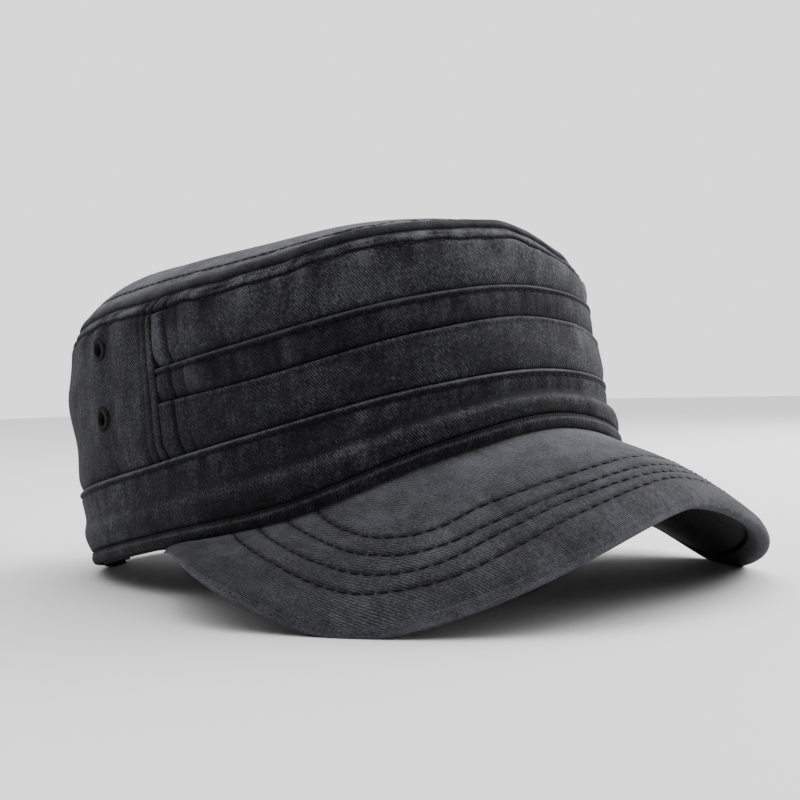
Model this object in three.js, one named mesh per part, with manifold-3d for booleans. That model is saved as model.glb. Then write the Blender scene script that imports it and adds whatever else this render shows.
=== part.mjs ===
// A flat-topped cloth cap with a curved peak, resting as on a table.
// Millimetres. Front towards -Y, up +Z, the wearer's left +X.
// Angles round the crown run from 0 at the front to 180 at the back.
// The cap is shaped upright, rim level, and then leaned back into its rest pose.
import * as THREE from "three";
import Module from "manifold-3d";

const { sin, cos, abs, sign, min, max, hypot, sqrt, PI } = Math;
const rad = (degrees) => (degrees * PI) / 180;

// Overall sizes
const RIM_HALF_LENGTH = 104;
const RIM_HALF_WIDTH = 80.5;
const RIM_SQUARENESS = 2.4;
const TOP_TAPER_LENGTH = 8;
const TOP_TAPER_WIDTH = 1;
const TOP_HALF_LENGTH = RIM_HALF_LENGTH - TOP_TAPER_LENGTH;
const TOP_HALF_WIDTH = RIM_HALF_WIDTH - TOP_TAPER_WIDTH;
const TOP_SQUARENESS = 2.6;
const TOP_FORWARD = 1.5;
const CROWN_TALL = 84.4;
const CROWN_BELLY = 4.5;
const LEAN_BACK = rad(10.9);
const SETTLE = 2.4;

// Cloth sizes
const GAP = 0.3;
const WALL = 2.4;
const ROLL = 1;
const LIP = (WALL - GAP) / 2;
const LIP_TALL = 4;
const STEP_IN = LIP + GAP;
const HEM_TALL = 4.2;
const HEM_LIP = 2.2;
const SWEATBAND_THICK = 1.1;
const SWEATBAND_TALL = 25;
const SWEATBAND_DROP = 0.8;
const TOP_THICK = 1.8;
const TOP_RISE = 14;
const TOP_RISE_BEHIND = 0.4;
const TOP_RISE_ASIDE = 0.2;
const LEFT_SAG = 8;
const SAG_LEAN = 0.8;
const TOP_ROUNDING = 3;
const SIDE_SEAM = 86;
const SEAM_SLANT = 1.0;

// Heights above the rim by angle from the front, as shares of CROWN_TALL;
// belly is how far the wall swells, as a share of CROWN_BELLY
const SECTIONS = [
  { at: 0, rim: 0.193, bandTop: 0.418, stripLow: 0.626, stripHigh: 0.751, crown: 0.988, belly: -0.2 },
  { at: 30, rim: 0.129, bandTop: 0.387, stripLow: 0.583, stripHigh: 0.718, crown: 0.972, belly: -0.13 },
  { at: 60, rim: 0.01, bandTop: 0.335, stripLow: 0.526, stripHigh: 0.671, crown: 0.928, belly: 0.04 },
  { at: 90, rim: 0, bandTop: 0.315, stripLow: 0.538, stripHigh: 0.673, crown: 0.961, belly: 0.33 },
  { at: 120, rim: 0, bandTop: 0.315, stripLow: 0.538, stripHigh: 0.673, crown: 1, belly: 0.64 },
  { at: 150, rim: 0, bandTop: 0.308, stripLow: 0.538, stripHigh: 0.673, crown: 0.987, belly: 0.91 },
  { at: 180, rim: 0, bandTop: 0.299, stripLow: 0.538, stripHigh: 0.673, crown: 0.963, belly: 1 },
];

// Peak sizes
const PEAK_SIDE_REACH = 30.5;
const PEAK_FRONT_REACH = 46.5;
const PEAK_HALF_WIDTH = RIM_HALF_WIDTH + PEAK_SIDE_REACH;
const PEAK_REACH = RIM_HALF_LENGTH + PEAK_FRONT_REACH;
const PEAK_CORNER = 90;
const PEAK_CORNER_DROP = 2.5;
const PEAK_CORNER_PROUD = 1.5;
const PEAK_SQUARENESS = 2.37;
const PEAK_FRONT_DROP = 14.2;
const PEAK_PITCH = 0.353;
const PEAK_SIDE_DROP = 55.2;
const PEAK_BEND = 1.57;
const PEAK_THICK = 2.6;
const PEAK_EDGE_THICK = 4.6;
const PEAK_SWELL = 4;
const FACING_THICK = 1.0;
const FACING_INSET = 0.12;

// Back opening and strap
const ARCH_HALF_WIDTH = 36;
const ARCH_TALL = 38;
const ARCH_BINDING = 5;
const ARCH_FOOT = 1.5;
const LEAN_FROM = 120; // where round the band its ends begin to follow the arch
const STRAP_TALL = 18;
const STRAP_THICK = 1.6;
const STRAP_LAP = 8;
const STRAP_ABOVE_RIM = 4;
const STRAP_OUT = 1.4;

// Eyelets on the back panels
const EYELET_ANGLE = 106;
const EYELET_UPPER = 71;
const EYELET_LOWER = 47;
const EYELET_HEIGHTS = { upper: EYELET_UPPER, lower: EYELET_LOWER };
const EYELET_OUTER = 4.6;
const EYELET_HOLE = 1.8;
const EYELET_PROUD = 0.5;

// A column of SECTIONS at any angle, as a smooth curve mirrored at the front and the back
function shareAt(column, angle) {
  const step = SECTIONS[1].at;
  const last = SECTIONS.length - 1;
  const a = min(abs(angle), 180) / step;
  const i = min(Math.floor(a), last - 1);
  const f = a - i;
  const row = (k) => SECTIONS[k < 0 ? -k : k > last ? 2 * last - k : k][column];
  const [p, q, r, s] = [row(i - 1), row(i), row(i + 1), row(i + 2)];
  const bend = 2 * p - 5 * q + 4 * r - s;
  const twist = 3 * (q - r) + s - p;
  return q + 0.5 * f * (r - p + f * (bend + f * twist));
}

const height = (column, angle) => CROWN_TALL * shareAt(column, angle);

// The crown's top edge, which sags over the wearer's left temple, most towards the front
function crownHeight(angle) {
  const over = angle > 0 && angle < 90 ? (angle / 90) ** SAG_LEAN : 0;
  return height("crown", angle) - LEFT_SAG * sin(rad(180 * over)) ** 2;
}

// A point on a rounded oval whose half sizes are w and l
function oval(angle, w, l, squareness) {
  const s = sin(rad(angle));
  const c = cos(rad(angle));
  const r = (abs(s) ** squareness + abs(c) ** squareness) ** (-1 / squareness);
  return [w * s * r, -l * c * r];
}

// The wall's plan point at a share of its height, 0 at the rim and 1 at the crown
function wallPlan(angle, share) {
  const [x0, y0] = oval(angle, RIM_HALF_WIDTH, RIM_HALF_LENGTH, RIM_SQUARENESS);
  const [x1, y1] = oval(angle, TOP_HALF_WIDTH, TOP_HALF_LENGTH, TOP_SQUARENESS);
  return [x0 + (x1 - x0) * share, y0 + (y1 - TOP_FORWARD - y0) * share];
}

function wallNormal(angle, share) {
  const [ax, ay] = wallPlan(angle - 0.5, share);
  const [bx, by] = wallPlan(angle + 0.5, share);
  const l = hypot(bx - ax, by - ay);
  return [(by - ay) / l, -(bx - ax) / l];
}

// A point of the crown's wall; out is measured outwards from its outer face
function wallPoint(angle, z, out) {
  const foot = height("rim", angle);
  const share = (z - foot) / (crownHeight(angle) - foot);
  const [x, y] = wallPlan(angle, share);
  const [nx, ny] = wallNormal(angle, share);
  const swell = CROWN_BELLY * shareAt("belly", angle) * sin(PI * min(max(share, 0), 1));
  return new THREE.Vector3(x + nx * (swell + out), y + ny * (swell + out), z);
}

// Turns the upright cap into its rest pose
const LIFT = RIM_HALF_LENGTH * sin(LEAN_BACK) - SETTLE;
function rest(p, flat) {
  const y = p.y * cos(LEAN_BACK) + p.z * sin(LEAN_BACK);
  const z = p.z * cos(LEAN_BACK) - p.y * sin(LEAN_BACK) + LIFT;
  return new THREE.Vector3(p.x, y, flat ? max(z, 0) : z);
}

// Meshing
function geometryOf(points, faces) {
  const geometry = new THREE.BufferGeometry();
  const flat = points.flatMap((p) => [p.x, p.y, p.z]);
  geometry.setAttribute("position", new THREE.Float32BufferAttribute(flat, 3));
  geometry.setIndex(faces.flat());
  return geometry;
}

function signedVolume(points, faces) {
  const total = faces.reduce((sum, [a, b, c]) => {
    const cross = new THREE.Vector3().crossVectors(points[b], points[c]);
    return sum + points[a].dot(cross);
  }, 0);
  return total / 6;
}

function outward(points, faces) {
  const turned = signedVolume(points, faces) < 0;
  return turned ? faces.map(([a, b, c]) => [a, c, b]) : faces;
}

// Joins a row of sections with equal point counts; the ends are capped unless the row is a ring
function sweep(sections, ring, flatShape) {
  const n = sections[0].length;
  const points = sections.flat();
  const faces = [];
  const joins = ring ? sections.length : sections.length - 1;
  for (let j = 0; j < joins; j++) {
    const here = j * n;
    const next = ((j + 1) % sections.length) * n;
    for (let i = 0; i < n; i++) {
      const k = (i + 1) % n;
      faces.push([here + i, here + k, next + k]);
      faces.push([here + i, next + k, next + i]);
    }
  }
  if (!ring) {
    const shape = flatShape.map(([u, v]) => new THREE.Vector2(u, v));
    const turned = THREE.ShapeUtils.area(shape) < 0;
    const caps = THREE.ShapeUtils.triangulateShape(turned ? shape.slice().reverse() : shape, []);
    const at = (i) => (turned ? n - 1 - i : i);
    const end = (sections.length - 1) * n;
    for (const [a, b, c] of caps) {
      const [p, q, r] = turned ? [at(c), at(b), at(a)] : [a, b, c];
      faces.push([p, r, q]);
      faces.push([end + p, end + q, end + r]);
    }
  }
  return { points, faces };
}

function steps(from, to, count) {
  return Array.from({ length: count + 1 }, (_, i) => from + ((to - from) * i) / count);
}

// Profiles are lists of [height, out] round a piece's section, one list per angle
function tierProfile(top, low, bulge) {
  const mid = (top + low) / 2;
  return [
    [top, -0.45 * ROLL],
    [top - ROLL, 0],
    [mid, bulge - 0.35 * ROLL],
    [low + 3 * ROLL, -0.8 * ROLL],
    [low + GAP, -STEP_IN],
    [low - LIP_TALL + 1.3 * GAP, -STEP_IN],
    [low - LIP_TALL + 1.3 * GAP, -WALL],
    [mid, -WALL],
    [top - LIP_TALL - GAP, -WALL],
    [top - LIP_TALL - GAP, -LIP],
    [top, -LIP],
  ];
}

// Pieces of the wall between two angles; the ends lean so that no gap shows through
function wallPiece(angles, profileAt, leanAt, flat) {
  return angles.map((angle) =>
    profileAt(angle).map(([z, out]) => {
      const leaned = leanAt ? leanAt(angle, z, out) : angle;
      return rest(wallPoint(leaned, z, out), flat);
    }),
  );
}

const slanted = (slantAt) => (angle, z, out) => angle + (slantAt(angle) * SEAM_SLANT * out) / WALL;

const wholeRing = (count) => steps(0, 360, count).slice(0, count).map((a) => (a > 180 ? a - 360 : a));
const frontSlant = (angle) => sign(angle) * abs(angle / SIDE_SEAM) ** 6;
const seamGap = (GAP / RIM_HALF_WIDTH) * (180 / PI);
const flatten = (profile) => profile.map(([z, out]) => [out, z]);

function frontPiece(profileAt) {
  const angles = steps(-SIDE_SEAM, SIDE_SEAM, 30);
  return sweep(wallPiece(angles, profileAt, slanted(frontSlant)), false, flatten(profileAt(SIDE_SEAM)));
}

const stripProfile = (a) => tierProfile(height("stripHigh", a), height("stripLow", a), 0);
const middleProfile = (a) => tierProfile(height("stripLow", a), height("bandTop", a), 0.3 * ROLL);

function upperProfile(a) {
  const top = crownHeight(a) - 2.5 * GAP;
  const low = height("stripHigh", a);
  const mid = (top + low) / 2;
  return [
    [top, -TOP_ROUNDING],
    [top - 0.83 * TOP_ROUNDING, -0.45 * TOP_ROUNDING],
    [top - 2.33 * TOP_ROUNDING, -0.1 * TOP_ROUNDING],
    [mid, 0.2 * ROLL],
    [low + 3 * ROLL, -0.8 * ROLL],
    [low + GAP, -STEP_IN],
    [low - LIP_TALL + 1.3 * GAP, -STEP_IN],
    [low - LIP_TALL + 1.3 * GAP, -WALL],
    [mid, -WALL + 0.2 * ROLL],
    [top - 2.33 * TOP_ROUNDING, -WALL],
    [top, -WALL - TOP_ROUNDING],
  ];
}

function backProfile(a) {
  const top = crownHeight(a) - 2.5 * GAP;
  const low = height("bandTop", a);
  const tall = top - low;
  return [
    [top, -TOP_ROUNDING],
    [top - 0.83 * TOP_ROUNDING, -0.45 * TOP_ROUNDING],
    [top - 2.33 * TOP_ROUNDING, -0.1 * TOP_ROUNDING],
    [low + 0.63 * tall, 0.2 * ROLL],
    [low + 0.32 * tall, 0],
    [low + 3 * ROLL, -0.8 * ROLL],
    [low + GAP, -STEP_IN],
    [low - LIP_TALL + 1.3 * GAP, -STEP_IN],
    [low - LIP_TALL + 1.3 * GAP, -WALL],
    [low + 0.32 * tall, -WALL],
    [low + 0.63 * tall, -WALL + 0.2 * ROLL],
    [top - 2.33 * TOP_ROUNDING, -WALL],
    [top, -WALL - TOP_ROUNDING],
  ];
}

// The band folds inwards half way down, most at the front, and swells below the fold
function bandProfile(a) {
  const top = height("bandTop", a);
  const low = height("rim", a) + HEM_TALL;
  const fold = (0.3 + 1.1 * cos(rad(a / 2)) ** 4) * ROLL;
  const tall = top - low;
  return [
    [top, -0.45 * ROLL],
    [top - ROLL, 0],
    [low + 0.72 * tall, -0.3 * ROLL],
    [low + 0.54 * tall, -fold],
    [low + 0.44 * tall, 0.4 * fold],
    [low + 0.25 * tall, 0.1 * ROLL + 0.75 * fold],
    [low + ROLL, -0.1 * ROLL],
    [low + GAP, -STEP_IN],
    [low - HEM_LIP + 1.3 * GAP, -STEP_IN],
    [low - HEM_LIP + 1.3 * GAP, -WALL],
    [low + 0.4 * tall, -WALL],
    [top - LIP_TALL - GAP, -WALL],
    [top - LIP_TALL - GAP, -LIP],
    [top, -LIP],
  ];
}

function hemProfile(a) {
  const foot = height("rim", a);
  const top = foot + HEM_TALL;
  return [
    [top, -0.5 * ROLL],
    [top - 0.8 * ROLL, 0.4 * ROLL],
    [foot + 1.8 * ROLL, 0.8 * ROLL],
    [foot + 0.5 * ROLL, 0.3 * ROLL],
    [foot, -0.7 * ROLL],
    [foot, -WALL],
    [top - HEM_LIP - GAP, -WALL],
    [top - HEM_LIP - GAP, -LIP],
    [top, -LIP],
  ];
}

function sweatbandProfile(a) {
  const foot = height("rim", a);
  const behind = min(max((abs(a) - PEAK_CORNER - 3) / 8, 0), 1);
  const low = foot + 2 * GAP - (SWEATBAND_DROP + 2 * GAP) * behind;
  const outer = -WALL - 2 * GAP;
  const inner = outer - SWEATBAND_THICK;
  const high = foot + SWEATBAND_TALL;
  return [
    [high, outer],
    [low + 2 * GAP, outer],
    [low, outer - 0.2 * SWEATBAND_THICK],
    [low, inner + 0.2 * SWEATBAND_THICK],
    [low + 2 * GAP, inner],
    [high, inner],
  ];
}

// The angle at which the back of the wall is x from the middle, by halving
function backAngle(x, z = 0) {
  let near = 110;
  let far = 180;
  for (let i = 0; i < 30; i++) {
    const half = (near + far) / 2;
    if (wallPoint(half, z, 0).x > x) near = half;
    else far = half;
  }
  return far;
}

const archOuter = ARCH_HALF_WIDTH + ARCH_BINDING + GAP;
const openAngle = backAngle(archOuter + 2.5 * GAP);

// How far from the middle the binding's outer edge is at a height
function archReach(z) {
  const rise = min(max((z - ARCH_FOOT) / (ARCH_TALL + ARCH_BINDING + GAP - ARCH_FOOT), 0), 1);
  return archOuter * sqrt(1 - rise ** (2 / 0.7)) ** 1.25;
}

// Leans the last stretch of a ring so that its end follows the binding
function towardsArch(angle, z) {
  const share = max((abs(angle) - LEAN_FROM) / (openAngle - LEAN_FROM), 0) ** 1.5;
  const end = backAngle(archReach(z) + 2.5 * GAP, z);
  return angle + sign(angle) * (end - openAngle) * share;
}

// Rings that stop short of the back opening, with closer steps where they meet the table
function backOpenPiece(profileAt, count, flat) {
  const near = [0, 2, 4].map((d) => openAngle - d);
  const angles = [...near.map((a) => -a), ...steps(8 - openAngle, openAngle - 8, count), ...near.toReversed()];
  return sweep(wallPiece(angles, profileAt, towardsArch, flat), false, flatten(profileAt(openAngle)));
}

// Crown top: a shallow dish turned over, with a skirt inside the wall
function crownTop() {
  const rows = [
    { share: 0.35, up: 0, out: null },
    { share: 0.6, up: 0, out: null },
    { share: 0.8, up: 0, out: null },
    { share: 0.92, up: 0, out: null },
  ];
  const rise = (share) => TOP_RISE * (1 - share ** 5);
  const angles = wholeRing(56);
  const domePoint = (angle, share, down) => {
    const edge = wallPoint(angle, crownHeight(angle), -TOP_ROUNDING - 0.5 * ROLL);
    const level = crownHeight(90) * (1 - share) + crownHeight(angle) * share;
    const y = -TOP_FORWARD + (edge.y + TOP_FORWARD) * share;
    const x = edge.x * share;
    const fuller = 1 + (TOP_RISE_BEHIND * y) / TOP_HALF_LENGTH - (TOP_RISE_ASIDE * x) / TOP_HALF_WIDTH;
    return new THREE.Vector3(x, y, level + rise(share) * fuller + TOP_THICK - down);
  };
  const rimPoint = (angle, up, out) => wallPoint(angle, crownHeight(angle) + up, out - TOP_ROUNDING);
  const rings = [
    ...rows.map((row) => (a) => domePoint(a, row.share, 0)),
    (a) => rimPoint(a, 3.4 * ROLL, -1.6 * ROLL),
    (a) => rimPoint(a, 1.9 * ROLL, -0.5 * ROLL),
    (a) => rimPoint(a, 0.7 * ROLL, -0.1 * ROLL),
    (a) => rimPoint(a, 0, -0.4 * ROLL),
    (a) => rimPoint(a, 0, -WALL - 2 * GAP),
    (a) => rimPoint(a, -LIP_TALL, -WALL - 2 * GAP + 0.4 * TOP_ROUNDING),
    (a) => rimPoint(a, -LIP_TALL, -WALL - 2 * GAP - 1.2 * ROLL),
    (a) => rimPoint(a, 0.6 * ROLL, -WALL - 2 * GAP - 1.4 * ROLL),
    ...rows.toReversed().map((row) => (a) => domePoint(a, row.share, TOP_THICK)),
  ];
  const points = rings.flatMap((ring) => angles.map((a) => rest(ring(a))));
  const n = angles.length;
  const faces = [];
  for (let j = 0; j < rings.length - 1; j++) {
    for (let i = 0; i < n; i++) {
      const k = (i + 1) % n;
      faces.push([j * n + i, j * n + k, (j + 1) * n + k]);
      faces.push([j * n + i, (j + 1) * n + k, (j + 1) * n + i]);
    }
  }
  const above = points.length;
  points.push(rest(domePoint(0, 0, 0)), rest(domePoint(0, 0, TOP_THICK)));
  const last = (rings.length - 1) * n;
  for (let i = 0; i < n; i++) {
    const k = (i + 1) % n;
    faces.push([above, k, i]);
    faces.push([above + 1, last + i, last + k]);
  }
  return { points, faces };
}

// Peak: ruled between the rim and its outer edge, u from side to side, v outwards
function peakRoot(u) {
  const angle = u * PEAK_CORNER;
  return wallPoint(angle, height("rim", angle) - GAP, -WALL / 2);
}

function peakEdge(u) {
  const corner = wallPoint(PEAK_CORNER, -PEAK_CORNER_DROP, PEAK_CORNER_PROUD);
  const turn = (u * PI) / 2;
  const power = 2 / PEAK_SQUARENESS;
  const across = sign(u) * abs(sin(turn)) ** power;
  const along = abs(cos(turn)) ** power;
  const q = abs(u);
  const tuck = min(max((q - 0.75) / 0.25, 0), 1) ** 2;
  const x = PEAK_HALF_WIDTH * across - sign(u) * (PEAK_HALF_WIDTH - corner.x) * tuck;
  const y = corner.y - (PEAK_REACH + corner.y) * along;
  const open = -PEAK_FRONT_DROP + PEAK_PITCH * (y + PEAK_REACH) - PEAK_SIDE_DROP * abs(across) ** PEAK_BEND;
  const b = min(max((q - 0.55) / 0.45, 0), 1);
  const blend = b * b * (3 - 2 * b);
  return new THREE.Vector3(x, y, open * (1 - blend) + corner.z * blend);
}

function peakSkin(u, v) {
  const a = peakRoot(u);
  const b = peakEdge(u);
  const p = a.clone().lerp(b, v);
  const swell = PEAK_SWELL * 5.2 * v ** 1.4 * (1 - v) * (1 - u ** 4);
  return p.add(new THREE.Vector3(0, 0, swell));
}

function peakNormal(u, v) {
  const du = peakSkin(min(u + 0.01, 1), v).sub(peakSkin(max(u - 0.01, -1), v));
  const dv = peakSkin(u, min(v + 0.02, 1)).sub(peakSkin(u, max(v - 0.02, 0)));
  const n = new THREE.Vector3().crossVectors(dv, du).normalize();
  return n.z < 0 ? n.negate() : n;
}

function peakPoint(u, v, down) {
  const thin = 1 - 0.6 * abs(u) ** 6;
  return peakSkin(u, v).addScaledVector(peakNormal(u, v), -down * thin);
}

const PEAK_EDGE_ROUND = PEAK_EDGE_THICK / 2;
const peakProfile = [
  [0, 0],
  [0.15, 0],
  [0.35, 0],
  [0.55, 0],
  [0.75, 0],
  [0.92, 0.1 * ROLL],
  [0.975, 0.7 * ROLL],
  [1, PEAK_EDGE_ROUND],
  [0.975, PEAK_EDGE_THICK - 0.7 * ROLL],
  [0.945, PEAK_EDGE_THICK],
  [1 - FACING_INSET + 0.02, PEAK_EDGE_THICK - 0.2 * ROLL],
  [1 - FACING_INSET + 0.02, PEAK_THICK],
  [0.75, PEAK_THICK],
  [0.55, PEAK_THICK],
  [0.35, PEAK_THICK],
  [0.15, PEAK_THICK],
  [0, PEAK_THICK],
];
const facingTop = PEAK_THICK + 2 * GAP;
const facingLow = facingTop + FACING_THICK;
const facingRows = [0.06, 0.15, 0.35, 0.55, 0.75, 1 - FACING_INSET];
const facingProfile = [
  ...facingRows.map((v) => [v, facingTop]),
  ...facingRows.toReversed().map((v) => [v, facingLow]),
];

function peakPiece(profile, halfSpan, count) {
  const across = steps(-halfSpan, halfSpan, count);
  const sections = across.map((u) => profile.map(([v, down]) => rest(peakPoint(u, v, down), true)));
  return sweep(sections, false, profile);
}

// The arch at the back, seen from behind: a point at a share of the way round it
function archPoint(share, half, tall) {
  const turn = PI * share;
  const x = half * cos(turn) * (abs(cos(turn)) ** 0.25);
  return [x, ARCH_FOOT + (tall - ARCH_FOOT) * sin(turn) ** 0.7];
}

// The wall over the back opening, found by x instead of by angle
function backWall(x, z, out) {
  const side = x < 0 ? -1 : 1;
  const p = wallPoint(backAngle(abs(x), z), z, out);
  return new THREE.Vector3(side * p.x, p.y, z);
}

function archBinding() {
  const count = 24;
  const ring = steps(0, 1, count);
  const sections = ring.map((share) => {
    const [xi, zi] = archPoint(share, ARCH_HALF_WIDTH, ARCH_TALL);
    const [xo, zo] = archPoint(share, ARCH_HALF_WIDTH + ARCH_BINDING, ARCH_TALL + ARCH_BINDING);
    return [
      [xi, zi, 0.2 * ROLL],
      [(xi + xo) / 2, (zi + zo) / 2, 0.7 * ROLL],
      [xo, zo, 0.2 * ROLL],
      [xo, zo, -WALL - 0.2 * ROLL],
      [xi, zi, -WALL - 0.2 * ROLL],
    ].map(([x, z, out]) => rest(backWall(x, z, out)));
  });
  return sweep(sections, false, [[0, 0.2], [2.5, 0.7], [5, 0.2], [5, -2], [0, -2]]);
}

function backStrap() {
  const reach = backAngle(ARCH_HALF_WIDTH + ARCH_BINDING + STRAP_LAP);
  const low = STRAP_ABOVE_RIM;
  const high = STRAP_ABOVE_RIM + STRAP_TALL;
  const profile = [
    [low, STRAP_OUT],
    [low, STRAP_OUT + STRAP_THICK],
    [high, STRAP_OUT + STRAP_THICK],
    [high, STRAP_OUT],
  ];
  const angles = steps(reach, 360 - reach, 20);
  const sections = angles.map((a) =>
    profile.map(([z, out]) => {
      const turned = a > 180 ? a - 360 : a;
      return rest(wallPoint(turned, z, out));
    }),
  );
  return sweep(sections, false, flatten(profile));
}

// Cutting with manifold-3d
const kernel = await Module();
kernel.setup();

function solid({ points, faces }) {
  const turned = outward(points, faces);
  return new kernel.Manifold(
    new kernel.Mesh({
      numProp: 3,
      vertProperties: new Float32Array(points.flatMap((p) => [p.x, p.y, p.z])),
      triVerts: new Uint32Array(turned.flat()),
    }),
  );
}

function geometryFromSolid(made) {
  const mesh = made.getMesh();
  const geometry = new THREE.BufferGeometry();
  geometry.setAttribute("position", new THREE.BufferAttribute(mesh.vertProperties, 3));
  geometry.setIndex(new THREE.BufferAttribute(mesh.triVerts, 1));
  return geometry;
}

// A cut can leave a hair of cloth behind, so the biggest body is kept
function largest(made) {
  return made.decompose().reduce((a, b) => (b.volume() > a.volume() ? b : a));
}

// A prism through the wall over the arch, grown by the binding and a gap
function archCutter() {
  const ring = steps(0, 1, 24);
  const outline = ring.map((s) =>
    archPoint(s, ARCH_HALF_WIDTH + ARCH_BINDING + GAP, ARCH_TALL + ARCH_BINDING + GAP),
  );
  outline.push([-archOuter, -STRAP_TALL], [archOuter, -STRAP_TALL]);
  const section = (y) => outline.map(([x, z]) => rest(new THREE.Vector3(x, y, z)));
  return solid(sweep([section(0.6 * RIM_HALF_LENGTH), section(1.25 * RIM_HALF_LENGTH)], false, outline));
}

// A rod through the wall, along its normal
function wallRod(angle, z, radius, from, to, count) {
  const p = wallPoint(angle, z, 0);
  const out = wallPoint(angle, z, 1).sub(p);
  const side = new THREE.Vector3(0, 0, 1).cross(out).normalize();
  const up = new THREE.Vector3().crossVectors(out, side);
  const ring = steps(0, 2 * PI, count).slice(0, count);
  const section = (d) =>
    ring.map((t) =>
      rest(
        p
          .clone()
          .addScaledVector(out, d)
          .addScaledVector(side, radius * cos(t))
          .addScaledVector(up, radius * sin(t)),
      ),
    );
  const flatRing = ring.map((t) => [cos(t), sin(t)]);
  return sweep([section(from), section(to)], false, flatRing);
}

function eyelet(angle, z) {
  const p = wallPoint(angle, z, 0);
  const out = wallPoint(angle, z, 1).sub(p);
  const side = new THREE.Vector3(0, 0, 1).cross(out).normalize();
  const up = new THREE.Vector3().crossVectors(out, side);
  const profile = [
    [EYELET_HOLE, 0],
    [(EYELET_HOLE + EYELET_OUTER) / 2, EYELET_PROUD],
    [EYELET_OUTER, 0],
    [EYELET_OUTER, -WALL],
    [EYELET_HOLE, -WALL],
  ];
  const sections = steps(0, 2 * PI, 16)
    .slice(0, 16)
    .map((t) =>
      profile.map(([r, d]) =>
        rest(
          p
            .clone()
            .addScaledVector(out, d)
            .addScaledVector(side, r * cos(t))
            .addScaledVector(up, r * sin(t)),
        ),
      ),
    );
  return sweep(sections, true);
}

// One back panel: side is 1 for the wearer's left and -1 for the right
function backPanel(side) {
  const first = SIDE_SEAM + seamGap;
  const last = 180 - seamGap / 2;
  const angles = steps(first, last, 16);
  const slant = (a) => max(0, 1 - (a - first) / 20) + side * max(0, (a - 160) / 20);
  const sections = wallPiece(angles, backProfile, slanted(slant));
  const mirrored = sections.map((s) => s.map((p) => new THREE.Vector3(side * p.x, p.y, p.z)));
  let made = solid(sweep(mirrored, false, flatten(backProfile(first))));
  for (const z of Object.values(EYELET_HEIGHTS)) {
    const rod = wallRod(side * EYELET_ANGLE, z, EYELET_OUTER + GAP, -2 * WALL, 2 * WALL, 16);
    made = made.subtract(solid(rod));
  }
  return geometryFromSolid(largest(made.subtract(archCutter())));
}

// Assembly
const cap = new THREE.Group();
cap.name = "denim_cap";

function add(name, geometry, colour) {
  const material = new THREE.MeshStandardMaterial({ color: colour, roughness: 0.95 });
  const mesh = new THREE.Mesh(geometry, material);
  mesh.name = name;
  cap.add(mesh);
}

function addSwept(name, made, colour) {
  add(name, geometryOf(made.points, outward(made.points, made.faces)), colour);
}

const DENIM = 0x3c3e42;
const DARK = 0x2b2c2f;

addSwept("crown_top", crownTop(), DENIM);
addSwept("front_upper", frontPiece(upperProfile), DENIM);
addSwept("front_strip", frontPiece(stripProfile), DARK);
addSwept("front_middle", frontPiece(middleProfile), DENIM);
add("back_panel_right", backPanel(-1), DENIM);
add("back_panel_left", backPanel(1), DENIM);
for (const [level, z] of Object.entries(EYELET_HEIGHTS)) {
  addSwept("eyelet_right_" + level, eyelet(-EYELET_ANGLE, z), DARK);
  addSwept("eyelet_left_" + level, eyelet(EYELET_ANGLE, z), DARK);
}
addSwept("band", backOpenPiece(bandProfile, 52), DENIM);
addSwept("hem", backOpenPiece(hemProfile, 52, true), DENIM);
addSwept("sweatband", backOpenPiece(sweatbandProfile, 52, true), DARK);
addSwept("back_binding", archBinding(), DENIM);
addSwept("back_strap", backStrap(), DARK);
addSwept("peak", peakPiece(peakProfile, 1, 40), DENIM);
addSwept("peak_facing", peakPiece(facingProfile, 0.75, 30), DARK);

// The origin sits under the middle of the whole cap
const bounds = new THREE.Box3().setFromObject(cap);
const middle = bounds.getCenter(new THREE.Vector3());
for (const mesh of cap.children) mesh.geometry.translate(-middle.x, -middle.y, -bounds.min.z);

export default cap;
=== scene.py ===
import math

import bmesh
import bpy
import numpy as np
from mathutils import Matrix, Vector


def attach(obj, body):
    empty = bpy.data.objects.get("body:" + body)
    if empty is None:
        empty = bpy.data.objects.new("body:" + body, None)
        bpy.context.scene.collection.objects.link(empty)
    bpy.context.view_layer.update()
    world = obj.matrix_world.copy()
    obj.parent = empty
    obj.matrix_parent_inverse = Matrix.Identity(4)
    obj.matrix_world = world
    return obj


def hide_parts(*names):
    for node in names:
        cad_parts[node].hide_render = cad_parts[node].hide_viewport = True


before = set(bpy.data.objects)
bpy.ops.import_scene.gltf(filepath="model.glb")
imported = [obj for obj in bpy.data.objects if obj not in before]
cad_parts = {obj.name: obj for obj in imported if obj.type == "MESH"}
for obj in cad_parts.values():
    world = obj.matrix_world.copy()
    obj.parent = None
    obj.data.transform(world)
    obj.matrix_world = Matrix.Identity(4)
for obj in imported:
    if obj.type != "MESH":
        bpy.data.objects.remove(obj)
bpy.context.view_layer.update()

# Sizes in millimetres, the same as the model's
RIM_HALF_LENGTH, RIM_HALF_WIDTH, RIM_SQUARENESS = 104, 80.5, 2.4
TOP_HALF_LENGTH, TOP_HALF_WIDTH, TOP_SQUARENESS = 96, 79.5, 2.6
TOP_FORWARD = 1.5
CROWN_TALL, CROWN_BELLY = 84.4, 4.5
LEAN_BACK = math.radians(10.9)
SETTLE = 2.4
GAP, WALL = 0.3, 2.4
LIP = (WALL - GAP) / 2
LIP_TALL = 4
STEP_IN = LIP + GAP
HEM_TALL, HEM_LIP = 4.2, 2.2
TOP_THICK, TOP_RISE, TOP_RISE_BEHIND, TOP_RISE_ASIDE, TOP_ROUNDING = 1.8, 14, 0.4, 0.2, 3
LEFT_SAG, SAG_LEAN = 8, 0.8
SIDE_SEAM, SEAM_SLANT = 86, 1.0
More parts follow.
